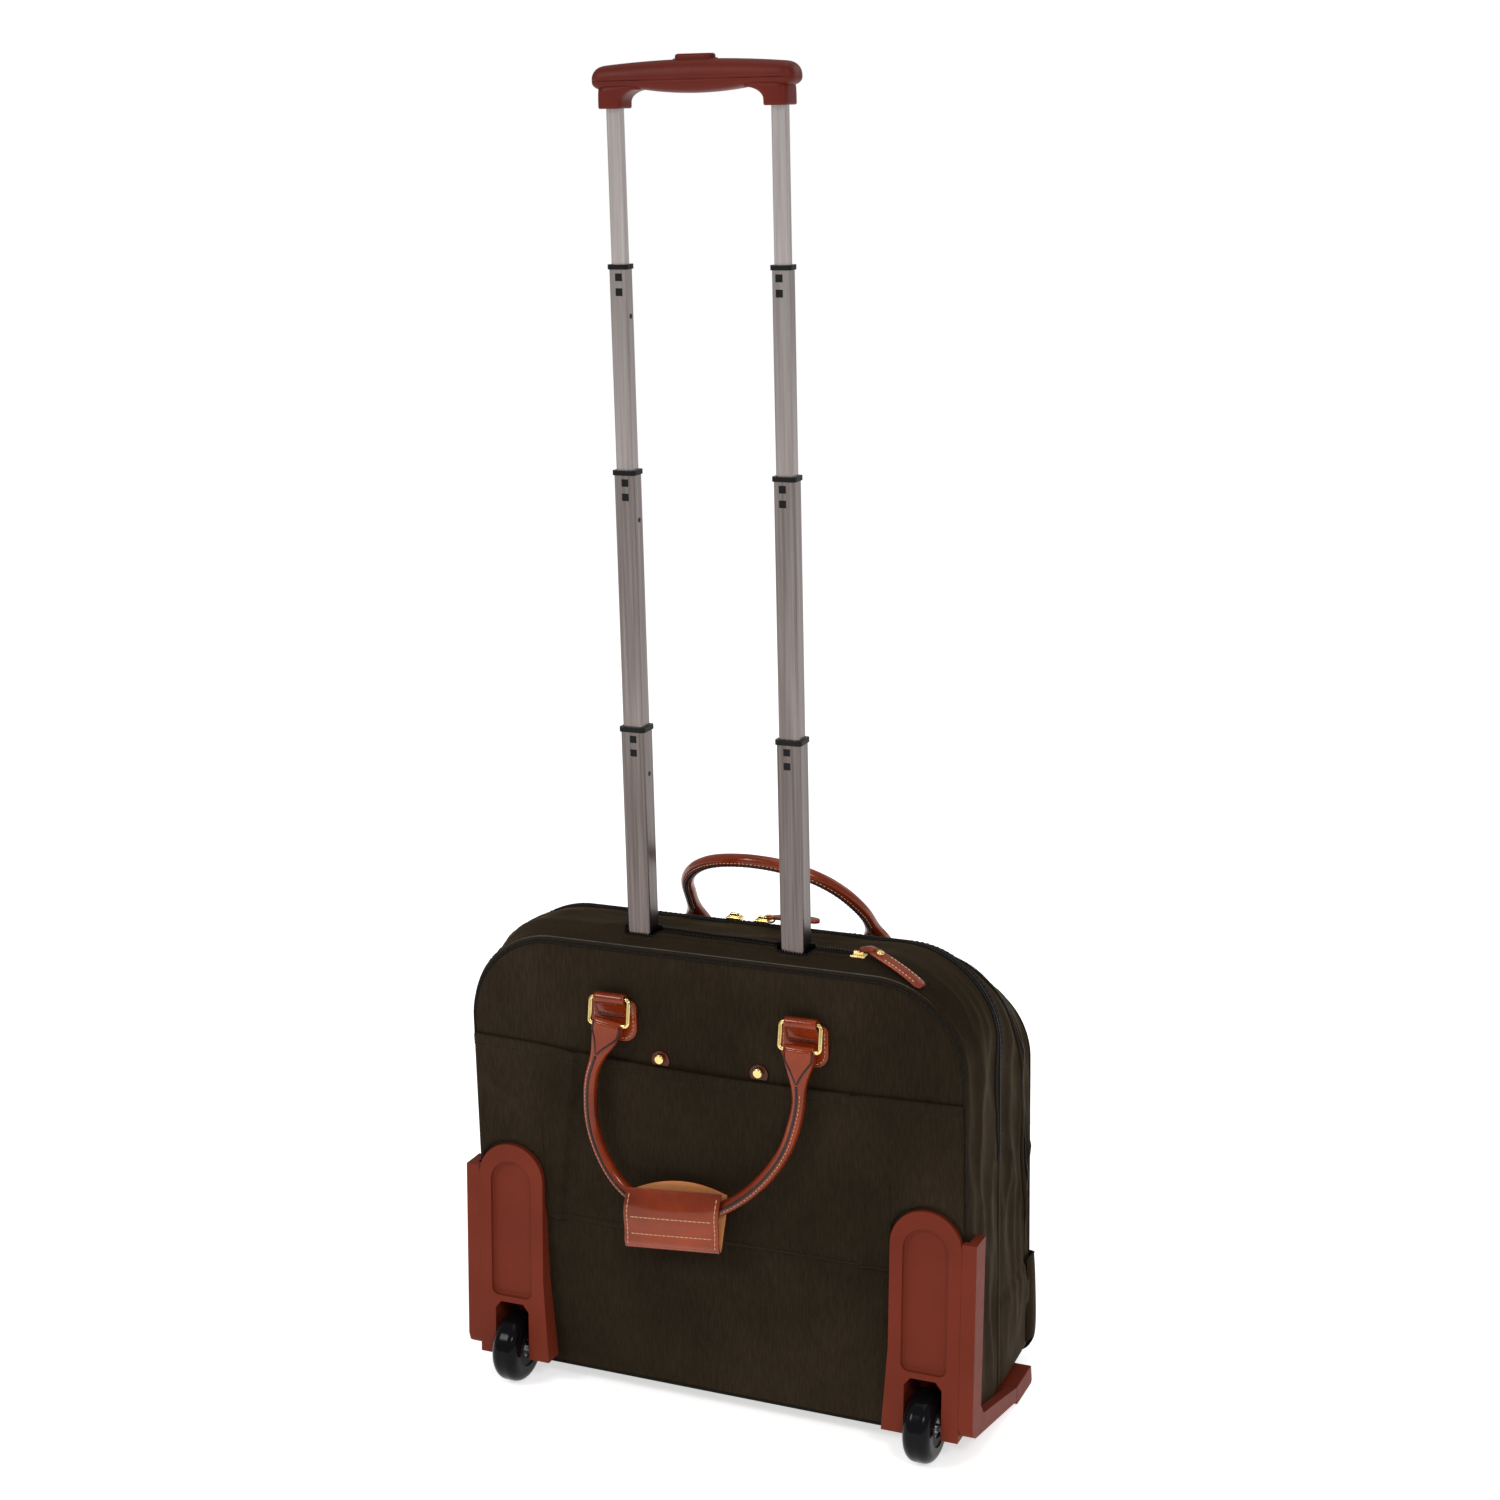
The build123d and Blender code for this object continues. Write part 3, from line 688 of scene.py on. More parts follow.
def front_shell():
    depths = steps(ZIP_DEPTH + 0.2, PANEL_DEPTH - 2.5, FRONT_ROWS)
    rows = [[skin(c, d) for c in range(COLUMNS)] for d in depths]
    shell = make("front_shell", grid(rows, True), NYLON, inside=(0, 120, 180))
    thicken(shell, 1.4, LINING)
    fold(shell)
    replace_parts(shell, "lower_gusset", "lid_gusset")


def relief(x, z):
    """Gentle unevenness of the back panel's fabric over its board, towards the front."""
    waves = 0.7 * ripple(x / 75, z / 95, 31.0) + 0.3 * ripple(x / 28, z / 34, 35.0)
    return waves * smooth((203 - abs(x)) / 25)


def disc(edge, core, heights, place):
    """Panel filled from its edge inwards to a core line; heights are (share inwards, height) pairs."""
    middles = [Vector((min(core, max(-core, p.x)), 200.0)) for p in edge]
    rows = []
    for share, height in heights:
        points = [p.lerp(middle, share) for p, middle in zip(edge, middles)]
        rows.append([place(q.x, q.y, height) for q in points])
    return grid(rows, True)


def back_panel():
    edge = outline(0)[0]
    heights = [(0, 1.6), (0.006, 0.5), (0.014, 0.0), *[(s, 0.0) for s in steps(0.03, 1.0, 42)]]

    def place(x, z, height):
        return (x, height + (relief(x, z) if height == 0 else 0), z)

    points, faces = disc(edge, 120.0, heights, place)

    def in_well(face):
        middle = sum((Vector(points[i]) for i in face), Vector()) / 4
        return abs(abs(middle.x) - WHEEL_X) < WELL_HALF and middle.z < WELL_TOP
    faces = [f for f in faces if not in_well(f)]
    panel = make("back_panel_cover", (points, faces), NYLON, "case", inside=(0, 60, 200))
    thicken(panel, 1.0)
    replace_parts(panel, "back_panel")


def front_panel():
    edge = outline(PANEL_DEPTH - 2.5)[0]
    crown = [(0, -2.5), (0.02, -1.2), (0.05, -0.4), *[(s, 0.0) for s in steps(0.09, 1.0, 34)]]

    def place(x, z, height):
        waves = 1.2 * crease(x / 90, z / 120, 51.0) + 0.8 * ripple(x / 30, z / 42, 55.0) - 0.9
        calm = smooth((abs(abs(x) - RING_X) - 16) / 20) if z > 260 else 1.0
        return (x, PANEL_DEPTH - 0.2 + height + (waves * calm if height == 0 else 0), z)

    shape = disc(edge, 120.0, crown, place)
    panel = make("front_panel_cover", shape, NYLON, inside=(0, 60, 200))
    thicken(panel, 1.4, LINING)
    fold(panel)
    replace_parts(panel, "lower_front_panel", "lid_front_panel")


def ring_path(depth, lift):
    return [Vector(skin(c, depth, lift)) for c in range(COLUMNS)]


def piping():
    """Corded welts sewn round the back and front panels."""
    make("back_piping", closed_tube(ring_path(0.6, -0.6), 1.4), TAPE, "case")
    front = make("front_piping", closed_tube(ring_path(PANEL_DEPTH - 4, 0.2), 1.6), NYLON)
    fold(front)
    path = [skin(c, 6.0, 0.1) for c in range(COLUMNS) if outline(0)[0][c].y > 210]
    seam = stitches(path, lambda p: (p.x / 3, 0, p.z - 250) if p.z > 300 else (p.x, 0, 0))
    make("back_edge_stitches", seam, DARK_THREAD, "case")


# ---- zips ----
def zip_columns(lowest):
    return [c for c in range(COLUMNS) if outline(ZIP_DEPTH)[0][c].y > lowest]


def band(columns, depth_of, offsets):
    """Strip on the skin. offsets are (depth offset, lift) across it."""
    return grid([[skin(c, depth_of(c) + d, lift) for c in columns] for d, lift in offsets])


TOOTH_PITCH, TOOTH_ROOT = 2.2, -0.3
TOOTH = [(-1.1, 0.42, 0.75), (0.7, 0.48, 0.95), (1.9, 0.3, 0.5)]        # (reach, half width, top) along it


def teeth(columns, depth_of, side):
    """Teeth of one half of a zip, along the skin; side is -1 for the rear half and 1 for the front."""
    path = [Vector(skin(c, depth_of(c), 0.9)) for c in columns]
    normals = [skin_normal(c, depth_of(c)) for c in columns]
    across = Vector((0, side, 0))
    shapes = []
    for p, tangent in spaced(path, TOOTH_PITCH / 2)[0 if side < 0 else 1::2]:
        near = min(range(len(path)), key=lambda i: (path[i] - p).length_squared)
        rows = []
        for reach, half, top in TOOTH:
            corners = ((-half, TOOTH_ROOT), (half, TOOTH_ROOT), (half, top), (-half, top))
            rows.append([tuple(p + across * reach + tangent * a + normals[near] * b) for a, b in corners])
        shapes.append(capped(rows))
    return joined(shapes)


def mirrored(offsets, side):
    """Offsets across a strip, for its rear half (-1) or its front half (1)."""
    return [(side * d, lift) for d, lift in offsets][::side]


def main_zip():
    columns = zip_columns(LID_SPLIT)

    def line(column):
        return ZIP_DEPTH

    for half, side in (("rear", -1), ("lid", 1)):
        shape = band(columns, line, mirrored([(0.9, 0.8), (4.0, 1.0), (7.0, 0.9), (7.5, 0.2)], side))
        strip = thicken(make(f"zip_{half}_tape", shape, TAPE, inside=BAG_MIDDLE), 0.7)
        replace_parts(hold(strip, side > 0), f"main_zip_{half}_tape")
        hold(make(f"zip_{half}_teeth", teeth(columns, line, side), BLACK), side > 0)
        path = [skin(c, ZIP_DEPTH + 6.0 * side, 1.05) for c in columns]
        seam = stitches(path, lambda p: (p.x, 0, 0) if p.z < 310 else (p.x / 4, 0, 60), pitch=4.2)
        hold(make(f"zip_{half}_stitches", seam, DARK_THREAD), side > 0)


def side_seam():
    """Bound seam that joins the two halves below the ends of the zip, and runs on under the bag."""
    start = zip_columns(LID_SPLIT + 3)[0]
    columns = [c % COLUMNS for c in range(-start, start + 1)]
    offsets = [(-3.2, -0.4), (-2.9, 0.5), (-1.0, 1.0), (1.0, 1.0), (2.9, 0.5), (3.2, -0.4)]
    shape = band(columns, lambda c: ZIP_DEPTH, offsets)
    thicken(make("side_seam", shape, NYLON, "case", inside=BAG_MIDDLE), 0.9)


FRONT_ZIP = [(100, 147), (250, 138), (300, 122), (345, 109), (390, 106)]        # (height, depth)


def front_zip():
    """The front compartment's zip: over the top and slanting forward down both sides."""
    columns = zip_columns(112)

    def line(column):
        return table(FRONT_ZIP, outline(120)[0][column].y)[0]

    for half, side in (("rear", -1), ("front", 1)):
        shape = band(columns, line, mirrored([(0.8, 0.6), (3.5, 1.6), (6.2, 1.5), (7, 0.2)], side))
        fold(thicken(make(f"front_zip_{half}_tape", shape, NYLON, inside=BAG_MIDDLE), 0.8))
        fold(make(f"front_zip_{half}_teeth", teeth(columns, line, side), BLACK))


def slot_zip():
    """Lips of the handle slot, and the closed zip that runs out to its slider."""
    columns = [c for c in range(COLUMNS) if slot_at(c) > 0]
    lip = [(-0.9, -1.8), (-0.6, 0.3), (0.6, 0.9), (3.0, 0.9), (4.0, 0.2)]
    shapes = []
    for half, side in (("rear", -1), ("front", 1)):
        def line(column, gap=0.5, side=side):
            return SLOT_MIDDLE + side * (slot_at(column) + gap)
        offsets = [(side * d, lift) for d, lift in lip]
        shapes.append(band(columns, lambda c, line=line: line(c, 0.6), offsets))
        make(f"slot_teeth_{half}", teeth(columns, line, -side), BLACK, "case")
    lips = make("slot_lips", joined(shapes), NYLON, "case", inside=(0, 22, 200))
    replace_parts(thicken(lips, 0.7), "slot_zip_tape")


# ---- pockets and inner sheets ----
# The back pocket: (x, height) of its hem, (rise, depth) over the hem's folded edge, and the rest
HEM = [(-203.5, 291), (-150, 289.5), (-116, 287), (-60, 285), (0, 283.5), (60, 283.5), (116, 284.5),
       (203.5, 287)]
HEM_EDGE = [(-1.2, -0.5), (0.4, -1.5), (0.6, -2.3), (-0.4, -2.9), (-1.5, -2.9), (-8.2, -2.7), (-9.6, -2.0),
            (-11, -1.9)]
POCKET_SIDE, POCKET_FOOT, POCKET_PLY = 203.4, 145.0, -1.9
ARCH_RADIUS, ARCH_CENTRE = 30.0, 173.5


def pocket_foot(x):
    """Lower edge of the back pocket: a seam, and then the arch over each wheel housing."""
    away = abs(abs(x) - WHEEL_X)
    if abs(x) < WHEEL_X - ARCH_RADIUS + 1:
        return POCKET_FOOT + 1.5 * math.sin(x / 60)
    return ARCH_CENTRE + math.sqrt(max(0.0, ARCH_RADIUS ** 2 - away ** 2))


def pleat(x, z):
    """Height of the two creased pleats at the sides of the pocket."""
    drop = 286 - z
    left, right = x + 113 + 0.14 * drop, 116 + 0.04 * drop - x
    height = 0.0
    for u, wide in ((left, 13), (right, 10)):
        if -wide < u < 1.2:
            height = max(height, min((u + wide) / wide, (1.2 - u) / 1.2))
    return height


def back_pocket():
    arch = WHEEL_X - ARCH_RADIUS + 1
    corners = [side * (arch + gap) for side in (-1, 1) for gap in (-0.5, 0.5)]
    xs = sorted({*steps(-POCKET_SIDE, POCKET_SIDE, 150), *corners})
    hem = [table(HEM, x)[0] for x in xs]

    def surface(x, z, base):
        belly = 1.3 * smooth((150 - abs(x)) / 120) * smooth((z - 150) / 130)
        folds = 1.7 * crease((x + z) / 60, (x - z) / 160, 61.0) + 0.5 * ripple(x / 22, z / 60, 65.0) - 0.6
        fade = smooth((POCKET_SIDE - abs(x)) / 8)
        lift = (belly + pleat(x, z) * 3.2 + max(0.0, folds) * smooth((284 - z) / 20)) * fade
        return (x, relief(x, z) + base - lift, z)

    rows = [[surface(x, top + rise, base) for x, top in zip(xs, hem)] for rise, base in HEM_EDGE]
    starts = [top + HEM_EDGE[-1][0] for top in hem]
    for share in steps(0.0, 1.0, 46)[1:]:
        base = POCKET_PLY + 1.2 * smooth((share - 0.93) / 0.07)
        rows.append([surface(x, top + (pocket_foot(x) - top) * share, base) for x, top in zip(xs, starts)])
    pocket = make("slip_pocket", grid(rows), NYLON, "case", inside=(0, 60, 220))
    thicken(pocket, 0.8, LINING)
    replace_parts(pocket, "back_pocket")
    hem_path = [surface(x, top - 8.0, -2.85) for x, top in zip(xs, hem)]
    foot_path = [surface(x, POCKET_FOOT + 3.2, POCKET_PLY) for x in xs if abs(x) < WHEEL_X - ARCH_RADIUS]
    for edge, path in (("hem", hem_path), ("foot", foot_path)):
        make(f"slip_pocket_{edge}_stitches", stitches(path, (0, -1, 0)), DARK_THREAD, "case")


# The front pocket's side view as (depth, height), from its mouth to its foot, and its other measures
FRONT_POCKET = [(166.8, 97.6), (167.6, 98.0), (168.0, 97), (172.5, 92), (178.0, 75), (181.6, 55),
                (183.4, 35), (183.2, 22), (180.5, 13), (175.5, 9), (170.0, 8.2), (163.4, 8.0)]
POCKET_HALF = 206.5
POCKET_BACK, POCKET_SIDE_SEAM = 163.4, 146.0
POCKET_FLOOR, POCKET_MOUTH, POCKET_CORNER = 8.0, 98.0, 18.0


def front_pocket():
    """Gusseted slip pocket low on the front, its mouth standing a little open."""
    half = POCKET_HALF
    ends = [half - inset for inset in (0, 0.25, 0.8, 1.8, 3.4, 5.5)]
    xs = [-x for x in ends] + steps(8 - half, half - 8, 96) + ends[::-1]

    def surface(x, d, z):
        full = (1 - (abs(x) / half) ** 60) ** 0.5
        folds = 1.6 * crease(x / 34, z / 90, 71.0) + 0.8 * ripple(x / 17, z / 30, 75.0) - 0.9
        stand = max(0.0, d - POCKET_BACK)
        waves = folds * smooth(stand / 6) * smooth((half - abs(x)) / 14) * smooth((184 - d) / 2 + 0.45)
        depth = POCKET_BACK + stand * full + waves * 0.8 if abs(x) < half else POCKET_SIDE_SEAM
        into = max(0.0, abs(x) - half + POCKET_CORNER)
        rise = POCKET_CORNER - math.sqrt(max(0.0, POCKET_CORNER ** 2 - into ** 2))
        share = max(0.0, (POCKET_MOUTH - z) / (POCKET_MOUTH - POCKET_FLOOR))
        return (x, depth, z + 1.2 * (1 - full) + rise * share)

    rows = [[surface(x, d, z) for x in xs] for d, z in soft_path(FRONT_POCKET, 3)]
    pocket = make("low_front_pocket", grid(rows), NYLON, "case", inside=(0, 140, 60))
    thicken(pocket, 1.0, LINING)
    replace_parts(pocket, "front_pocket")
    make("front_pocket_hem_stitches", stitches(rows[6], (0, 1, 0.3)), DARK_THREAD, "case")


def inner_sheet(name, depth, inset, waves, node_names, folds):
    """Lining wall inside the bag."""
    edge = [p - n * inset for p, n in zip(*outline(depth)[:2])]

    def place(x, z, height):
        return (x, depth + height + waves * ripple(x / 60, z / 80, depth), z)
    sheet = make(name, disc(edge, 110.0, [(s, 0) for s in steps(0, 1, 24)], place), LINING)
    hold(thicken(sheet, 0.9), folds)
    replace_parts(sheet, *node_names)
    return sheet


def inner_walls():
    tunnel = inner_sheet("tunnel_wall", 40.8, 4.5, 0.5, ["tunnel_lining"], False)
    divider = inner_sheet("divider_wall", 107.8, 10.0, 1.5, ["lower_divider", "lid_divider"], True)


# ---- leather and brass ----
def hung(depth, z, degrees):
    """Place function for something hung on a pivot: (x, reach, out) in millimetres."""
    c, v = circle(degrees)

    def place(x, reach, out):
        return (x, depth + reach * c - out * v, z + reach * v + out * c)
    return place


RING_X = 79.0
BACK_HANG, FRONT_HANG = -93.0, 130.0       # how far each handle leans over at rest, in degrees
JOINT = {j["name"]: j for j in frame["joints"]}


def pivot(joint):
    """Depth and height of a hinge in millimetres."""
    place = JOINT[joint]["pos_m"]
    return (place[1] - BACK) / MM, place[2] / MM


PATCH_HALF, PATCH_THICK, SEAM_INSET = 19.0, 2.4, 2.6
STRAP_HALF, STRAP_TURN = 13.0, 3.2     # half width of the ring's strap, and its bend round the bar


def chape(side, x, body):
    """Sewn patch and the strap that holds the ring. side is "back" or "front"."""
    label = "left" if x < 0 else "right"
    outward = -1 if side == "back" else 1
    face = -0.1 if side == "back" else PANEL_DEPTH
    bar_depth, bar_z = pivot(f"{side}_ring_pivot")
    top = bar_z - 2.5 if side == "back" else bar_z + 1.0
    foot = case_box(f"{side}_chapes")[0].z

    def on_face(a, b, h):
        return (a, face + outward * h, b)

    def shield(inset):
        half, high, low = PATCH_HALF - inset, top - inset, foot + inset
        corners = [(x - half, high), (x + half, high), (x + half, low), (x - half, low)]
        return rounded(corners, [5 - inset / 2.6, 5 - inset / 2.6, 11 - inset / 1.3, 11 - inset / 1.3])

    patch = placed(plate(shield(0.0), PATCH_THICK), on_face)
    leather = make(f"{side}_patch_{label}", patch, LEATHER, body)
    bevel(leather, 0.7)
    seam = shield(SEAM_INSET)
    path = [on_face(a, b, PATCH_THICK + 0.1) for a, b in [*seam, seam[0]]]
    make(f"{side}_patch_stitches_{label}", stitches(path, (0, outward, 0)), THREAD, body)
    away = abs(bar_depth - face)
    line = [(2.6, bar_z - 16.0), (3.4, bar_z - 11.0), (away - 0.5, bar_z - 5.0)]
    line += [(away + STRAP_TURN * c, bar_z + STRAP_TURN * v) for c, v in map(circle, steps(-80, 170, 18))]
    line += [(3.4, bar_z + 0.5), (2.2, bar_z + 0.2)]
    path = [Vector(on_face(x, z, h)) for h, z in line]
    strap = sweep(path, [Vector((1, 0, 0))] * len(path), lambda i: oval(1.1, STRAP_HALF, 6, 16))
    make(f"{side}_ring_loop_{label}", strap, LEATHER, body)
    return leather


def chapes():
    for side, body in (("back", "case"), ("front", "front_lid")):
        for x in (-RING_X, RING_X):
            patch = chape(side, x, body)
        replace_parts(patch, f"{side}_chapes")


# Each handle's line in its own plane, as (x, reach from the ring's outer bar)
BACK_ROUTE = [(-79, -3.8), (-80.5, 6), (-88, 24), (-97, 50), (-94, 94), (-68, 136), (-18, 150), (30, 128),
              (66, 88), (79, 46), (78.2, 22), (79, 6), (79, -3.8)]
FRONT_ROUTE = [(-79, -3.8), (-77.5, 6), (-75, 24), (-73, 42), (-68, 74), (-44, 99), (-8, 108), (30, 104),
               (62, 84), (79, 50), (80, 24), (79.3, 6), (79, -3.8)]
# (distance from the handle's end, half width, half thickness)
NECK = [(0, 12.0, 1.2), (0.8, 12.0, 2.6), (2.4, 12.0, 3.6), (6, 12.0, 3.7), (12, 11.6, 3.8),
        (20, 9.6, 4.3), (28, 7.2, 4.9), (36, 5.7, 5.3), (44, 5.3, 5.3), (60, 5.3, 5.3)]
FLAP_START, FLAP_SHOULDER, FLAP_END = 1.5, 11.0, 30.0      # the flap narrows to a point after its shoulder
FLAP_SHARE = 0.94      # of the handle's width
SEAM_START = 29.0


def rolled_handle(side, route, degrees, thread, stitch_rows):
    """Carry handle rolled round a cord, with its seam, its stitches and a pointed flap over each end."""
    body = f"{side}_handle"
    place = hung(*pivot(f"{side}_handle_pivot"), degrees)
    outer = -1 if side == "back" else 1
    path = [p for p, _ in spaced(soft_path([(x, r, 0.0) for x, r in route]), 2.2)]
    arcs = [0.0]
    for a, b in zip(path, path[1:]):
        arcs.append(arcs[-1] + (b - a).length)
    ends = [min(s, arcs[-1] - s) for s in arcs]
    up = Vector((0, 0, 1))

    def squareness(i):
        return 2 + 3 * (1 - smooth((ends[i] - 6) / 26))

    def section(i):
        half, thick = table(NECK, ends[i])
        uneven = 1 + 0.03 * ripple(arcs[i] / 14, 0.5, 81.0)
        return oval(half * uneven, thick * uneven, squareness(i), 24)

    def swept(line, section, name, finish):
        shape = placed(sweep(line, [up] * len(line), section), place)
        return make(name, shape, finish, body)

    def outer_face(i, share):
        """Point on the handle's outer face, share of its half width to one side."""
        half, thick = table(NECK, ends[i])
        tangent = (path[min(i + 1, len(path) - 1)] - path[max(i - 1, 0)]).normalized()
        rise = (1 - min(1.0, abs(share)) ** squareness(i)) ** (1 / squareness(i))
        return path[i] + tangent.cross(up).normalized() * (half * share) + up * (outer * thick * rise)

    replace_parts(swept(path, section, f"{side}_handle_leather", LEATHER), body)
    middle = [i for i in range(len(path)) if ends[i] > SEAM_START]
    seam = [outer_face(i, 0.0) for i in middle]
    swept(seam, lambda i: oval(1.05, 0.75, 2.5, 10), f"{side}_handle_seam", EDGE)
    out = Vector(place(0, 0, outer)) - Vector(place(0, 0, 0))
    for label, share in stitch_rows:
        line = [place(*outer_face(i, share)) for i in middle[2:-2]]
        make(f"{side}_handle_stitches_{label}", stitches(line, out), thread, body)
    half_way = len(path) // 2
    for label, indices in (("left", range(half_way)), ("right", range(len(path) - 1, half_way, -1))):
        rows = []
        for i in indices:
            if FLAP_START <= ends[i] <= FLAP_END:
                narrowing = (FLAP_END - ends[i]) / (FLAP_END - FLAP_SHOULDER)
                wide = min(FLAP_SHARE, max(0.02, FLAP_SHARE * narrowing))
                rows.append([outer_face(i, k * wide) + up * (outer * 0.9 * (1 - 0.25 * abs(k) ** 4))
                             for k in steps(-1, 1, 8)])
        shape = placed(grid(rows), place)
        inside = place(0, 40, -outer * 30)
        thicken(make(f"{side}_handle_flap_{label}", shape, LEATHER, body, inside=inside), 1.2)
        for column, tag in ((0, "a"), (-1, "b")):
            rim = [row[column] - up * (outer * 0.25) for row in rows]
            swept(rim, lambda i: oval(0.75, 0.8, 2, 8), f"{side}_flap_edge_{label}_{tag}", EDGE)


WRAP_CENTRE, WRAP_HALF, WRAP_CROWN = (-24.5, 149.0), (40.0, 25.0), 5.5
WRAP_SLOPE, WRAP_LEAN = -0.085, 0.07      # its long edges rise to one side, its short edges hang plumb
WRAP_TURN = [(1.0, 0.2), (1.4, -1.2), (0.8, -2.8), (-1.0, -3.8)]     # the fold: (past the lower edge, out)
WRAP_COLUMNS, WRAP_ROWS = 44, 30


def handle_wrap():
    """Leather sheet folded round the lowest run of the back handle, open along its upper edge."""
    place = hung(*pivot("back_handle_pivot"), BACK_HANG)

    def put(a, b, out):
        """a across, b down from the wrap's middle, out away from the panel."""
        return place(WRAP_CENTRE[0] + a - b * WRAP_LEAN, WRAP_CENTRE[1] + a * WRAP_SLOPE + b, -out)

    wide, tall = WRAP_HALF
    across = steps(-wide, wide, WRAP_COLUMNS)

    def front_out(a, b):
        """How far the front leaf stands out over the rolled handle inside it."""
        roll = 5.12 * math.exp(-((b + 5 + 0.0022 * a * a) / 15) ** 2)
        calm = smooth((wide - abs(a)) / 10)
        dents = (0.25 * ripple(a / 22, b / 16, 91.0) + 0.15 * crease(a / 40, b / 14, 93.0)) * calm
        return max(0.6, (3.4 + roll + dents) * (0.3 + 0.7 * smooth((tall - b) / 6)))

    def back_leaf(a, share):
        """Point of the back leaf, from the fold up to its crowned edge."""
        top = 0.5 - tall - WRAP_CROWN * max(-0.6, 1 - (a / (wide - 9)) ** 2)
        b = (tall - 1.0) + (top - tall + 1.0) * share
        return put(a + 1.5 * share, b, -4.2 - 2.2 * math.exp(-((b + 5) / 14) ** 2))

    rows = [[put(a, b, front_out(a, b) + 0.6) for a in across] for b in steps(-tall, tall, WRAP_ROWS)]
    rows += [[put(a, tall + past, out) for a in across] for past, out in WRAP_TURN]
    rows += [[back_leaf(a, share) for a in across] for share in steps(0.0, 1.0, 16)[1:]]
    wrap = make("wrap_leather", grid(rows), LEATHER, "back_handle")
    outward = Vector(put(0, 0, 1)) - Vector(put(0, 0, 0))
    if wrap.data.polygons[WRAP_ROWS * WRAP_COLUMNS // 2].normal.dot(outward) < 0:
        wrap.data.flip_normals()
    thicken(wrap, 1.5, SUEDE)
    bevel(wrap, 0.35, 2, 50)
    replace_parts(wrap, "handle_wrap")
    down, along = steps(2 - tall, tall - 1, 24), steps(4 - wide, wide - 4, 40)
    lines = {"left": [(3 - wide, b) for b in down], "right": [(wide - 3, b) for b in down],
             "upper": [(a, -2.5) for a in along], "lower": [(a, 12.5) for a in along]}
    for label, line in lines.items():
        path = [put(a, b, front_out(a, b) + 0.75) for a, b in line]
        seam = stitches(path, outward, pitch=3.9, size=1.45)
        make(f"wrap_stitches_{label}", seam, THREAD, "back_handle")


# ---- grip ----
GRIP_HALF, GRIP_SPLIT, GRIP_FOOT, GRIP_THICK = 77.5, 1015.0, 996.0, 13.0
GRIP_CROWN, GRIP_SHOULDER, GRIP_BELLY = 1028.5, 1025.0, 1005.4
ARCH_REACH, ARCH_TOP = 40.0, 1008.6
NOSE = 10.0            # length of each bull-nosed end
SOCKET_INNER, SOCKET_OUTER, SOCKET_THICK, SOCKET_FLARE = 54.0, 72.6, 11.6, 15.0
SOCKET_LIP = [(0, 1.0), (0.3, 0.3), (1.0, 0.0), (3.0, 0.0)]        # (height, inset)
BUTTON_HALF, BUTTON_REACH = 6.9, 9.0


def grip_section(x):
    """Half thickness, lowest and highest point of the grip's beam at x."""
    away = abs(x)
    top = GRIP_CROWN - (GRIP_CROWN - GRIP_SHOULDER) * (away / (GRIP_HALF - 3)) ** 2
    low = GRIP_BELLY + (ARCH_TOP - GRIP_BELLY) * min(1.0, away / ARCH_REACH) ** 2
    into = max(0.0, (away - GRIP_HALF + NOSE) / NOSE)
    share = max(0.03, (1 - min(1.0, into) ** 2.6) ** (1 / 2.6))
    return (GRIP_THICK * (0.3 + 0.7 * share), GRIP_SPLIT + (low - GRIP_SPLIT) * share,
            GRIP_SPLIT + (top - GRIP_SPLIT) * share)


def grip():
    """The pull handle's two moulded covers, with a socket over each tube."""
    middle = (case_box("release_yoke")[0].y + case_box("release_yoke")[1].y) / 2
    nose = [GRIP_HALF - NOSE * (1 - circle(a)[1]) for a in steps(90, 0, 9)]
    stations = [-x for x in nose] + steps(NOSE - GRIP_HALF, GRIP_HALF - NOSE, 60)[1:-1] + nose[::-1]

    def half_ring(x, side):
        thick, low, top = grip_section(x)
        if side < 0:
            thick -= 0.5 * smooth((abs(x) - 26) / 18) * smooth((GRIP_HALF - 5 - abs(x)) / 4)
        reach = top - GRIP_SPLIT if side > 0 else GRIP_SPLIT - low
        return [(x, middle + squared(c, 2.9) * thick, GRIP_SPLIT + side * (0.02 + reach * squared(v, 2.6)))
                for c, v in map(circle, steps(0, 180, 22))]

    def socket(side):
        """Sleeve over a tube, flaring inwards into the arch under the beam."""
        rise = ARCH_TOP - GRIP_FOOT - 4
        heights = SOCKET_LIP + [(4 + rise * circle(a)[1], 0.0) for a in steps(8, 90, 12)]
        rows = []
        for up, inset in [*heights, (rise + 7, 0.0)]:
            flare = 1 - math.sqrt(1 - min(1.0, max(0.0, (up - 4) / rise)) ** 2)
            inner, outer = SOCKET_INNER - SOCKET_FLARE * flare + inset, SOCKET_OUTER - inset
            ring = oval((outer - inner) / 2, SOCKET_THICK - inset, 5, 36)
            rows.append([(side * ((outer + inner) / 2 + a), middle + b, GRIP_FOOT + up) for a, b in ring])
        return capped(rows)

    upper, lower = (capped([half_ring(x, side) for x in stations]) for side in (1, -1))
    top = make("grip_upper_shell", upper, GRIP, "stage_4")
    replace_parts(top, "grip_top_cover")
    lower = joined([lower, socket(1), socket(-1)])
    bottom = make("grip_lower_shell", lower, GRIP, "stage_4")
    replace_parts(bottom, "grip_bottom_cover")
    rim = []
    for c, v in map(circle, steps(0, 360, 48)[:-1]):
        x = math.copysign(BUTTON_REACH, c) * min(1.0, abs(c) * 6) + BUTTON_HALF * c
        sag = 0.2 + 0.06 * abs(BUTTON_HALF * v) ** 1.6
        rim.append(Vector((x, middle + BUTTON_HALF * v, GRIP_CROWN - sag)))
    make("button_rim", closed_tube(rim, 0.8), GRIP, "stage_4")


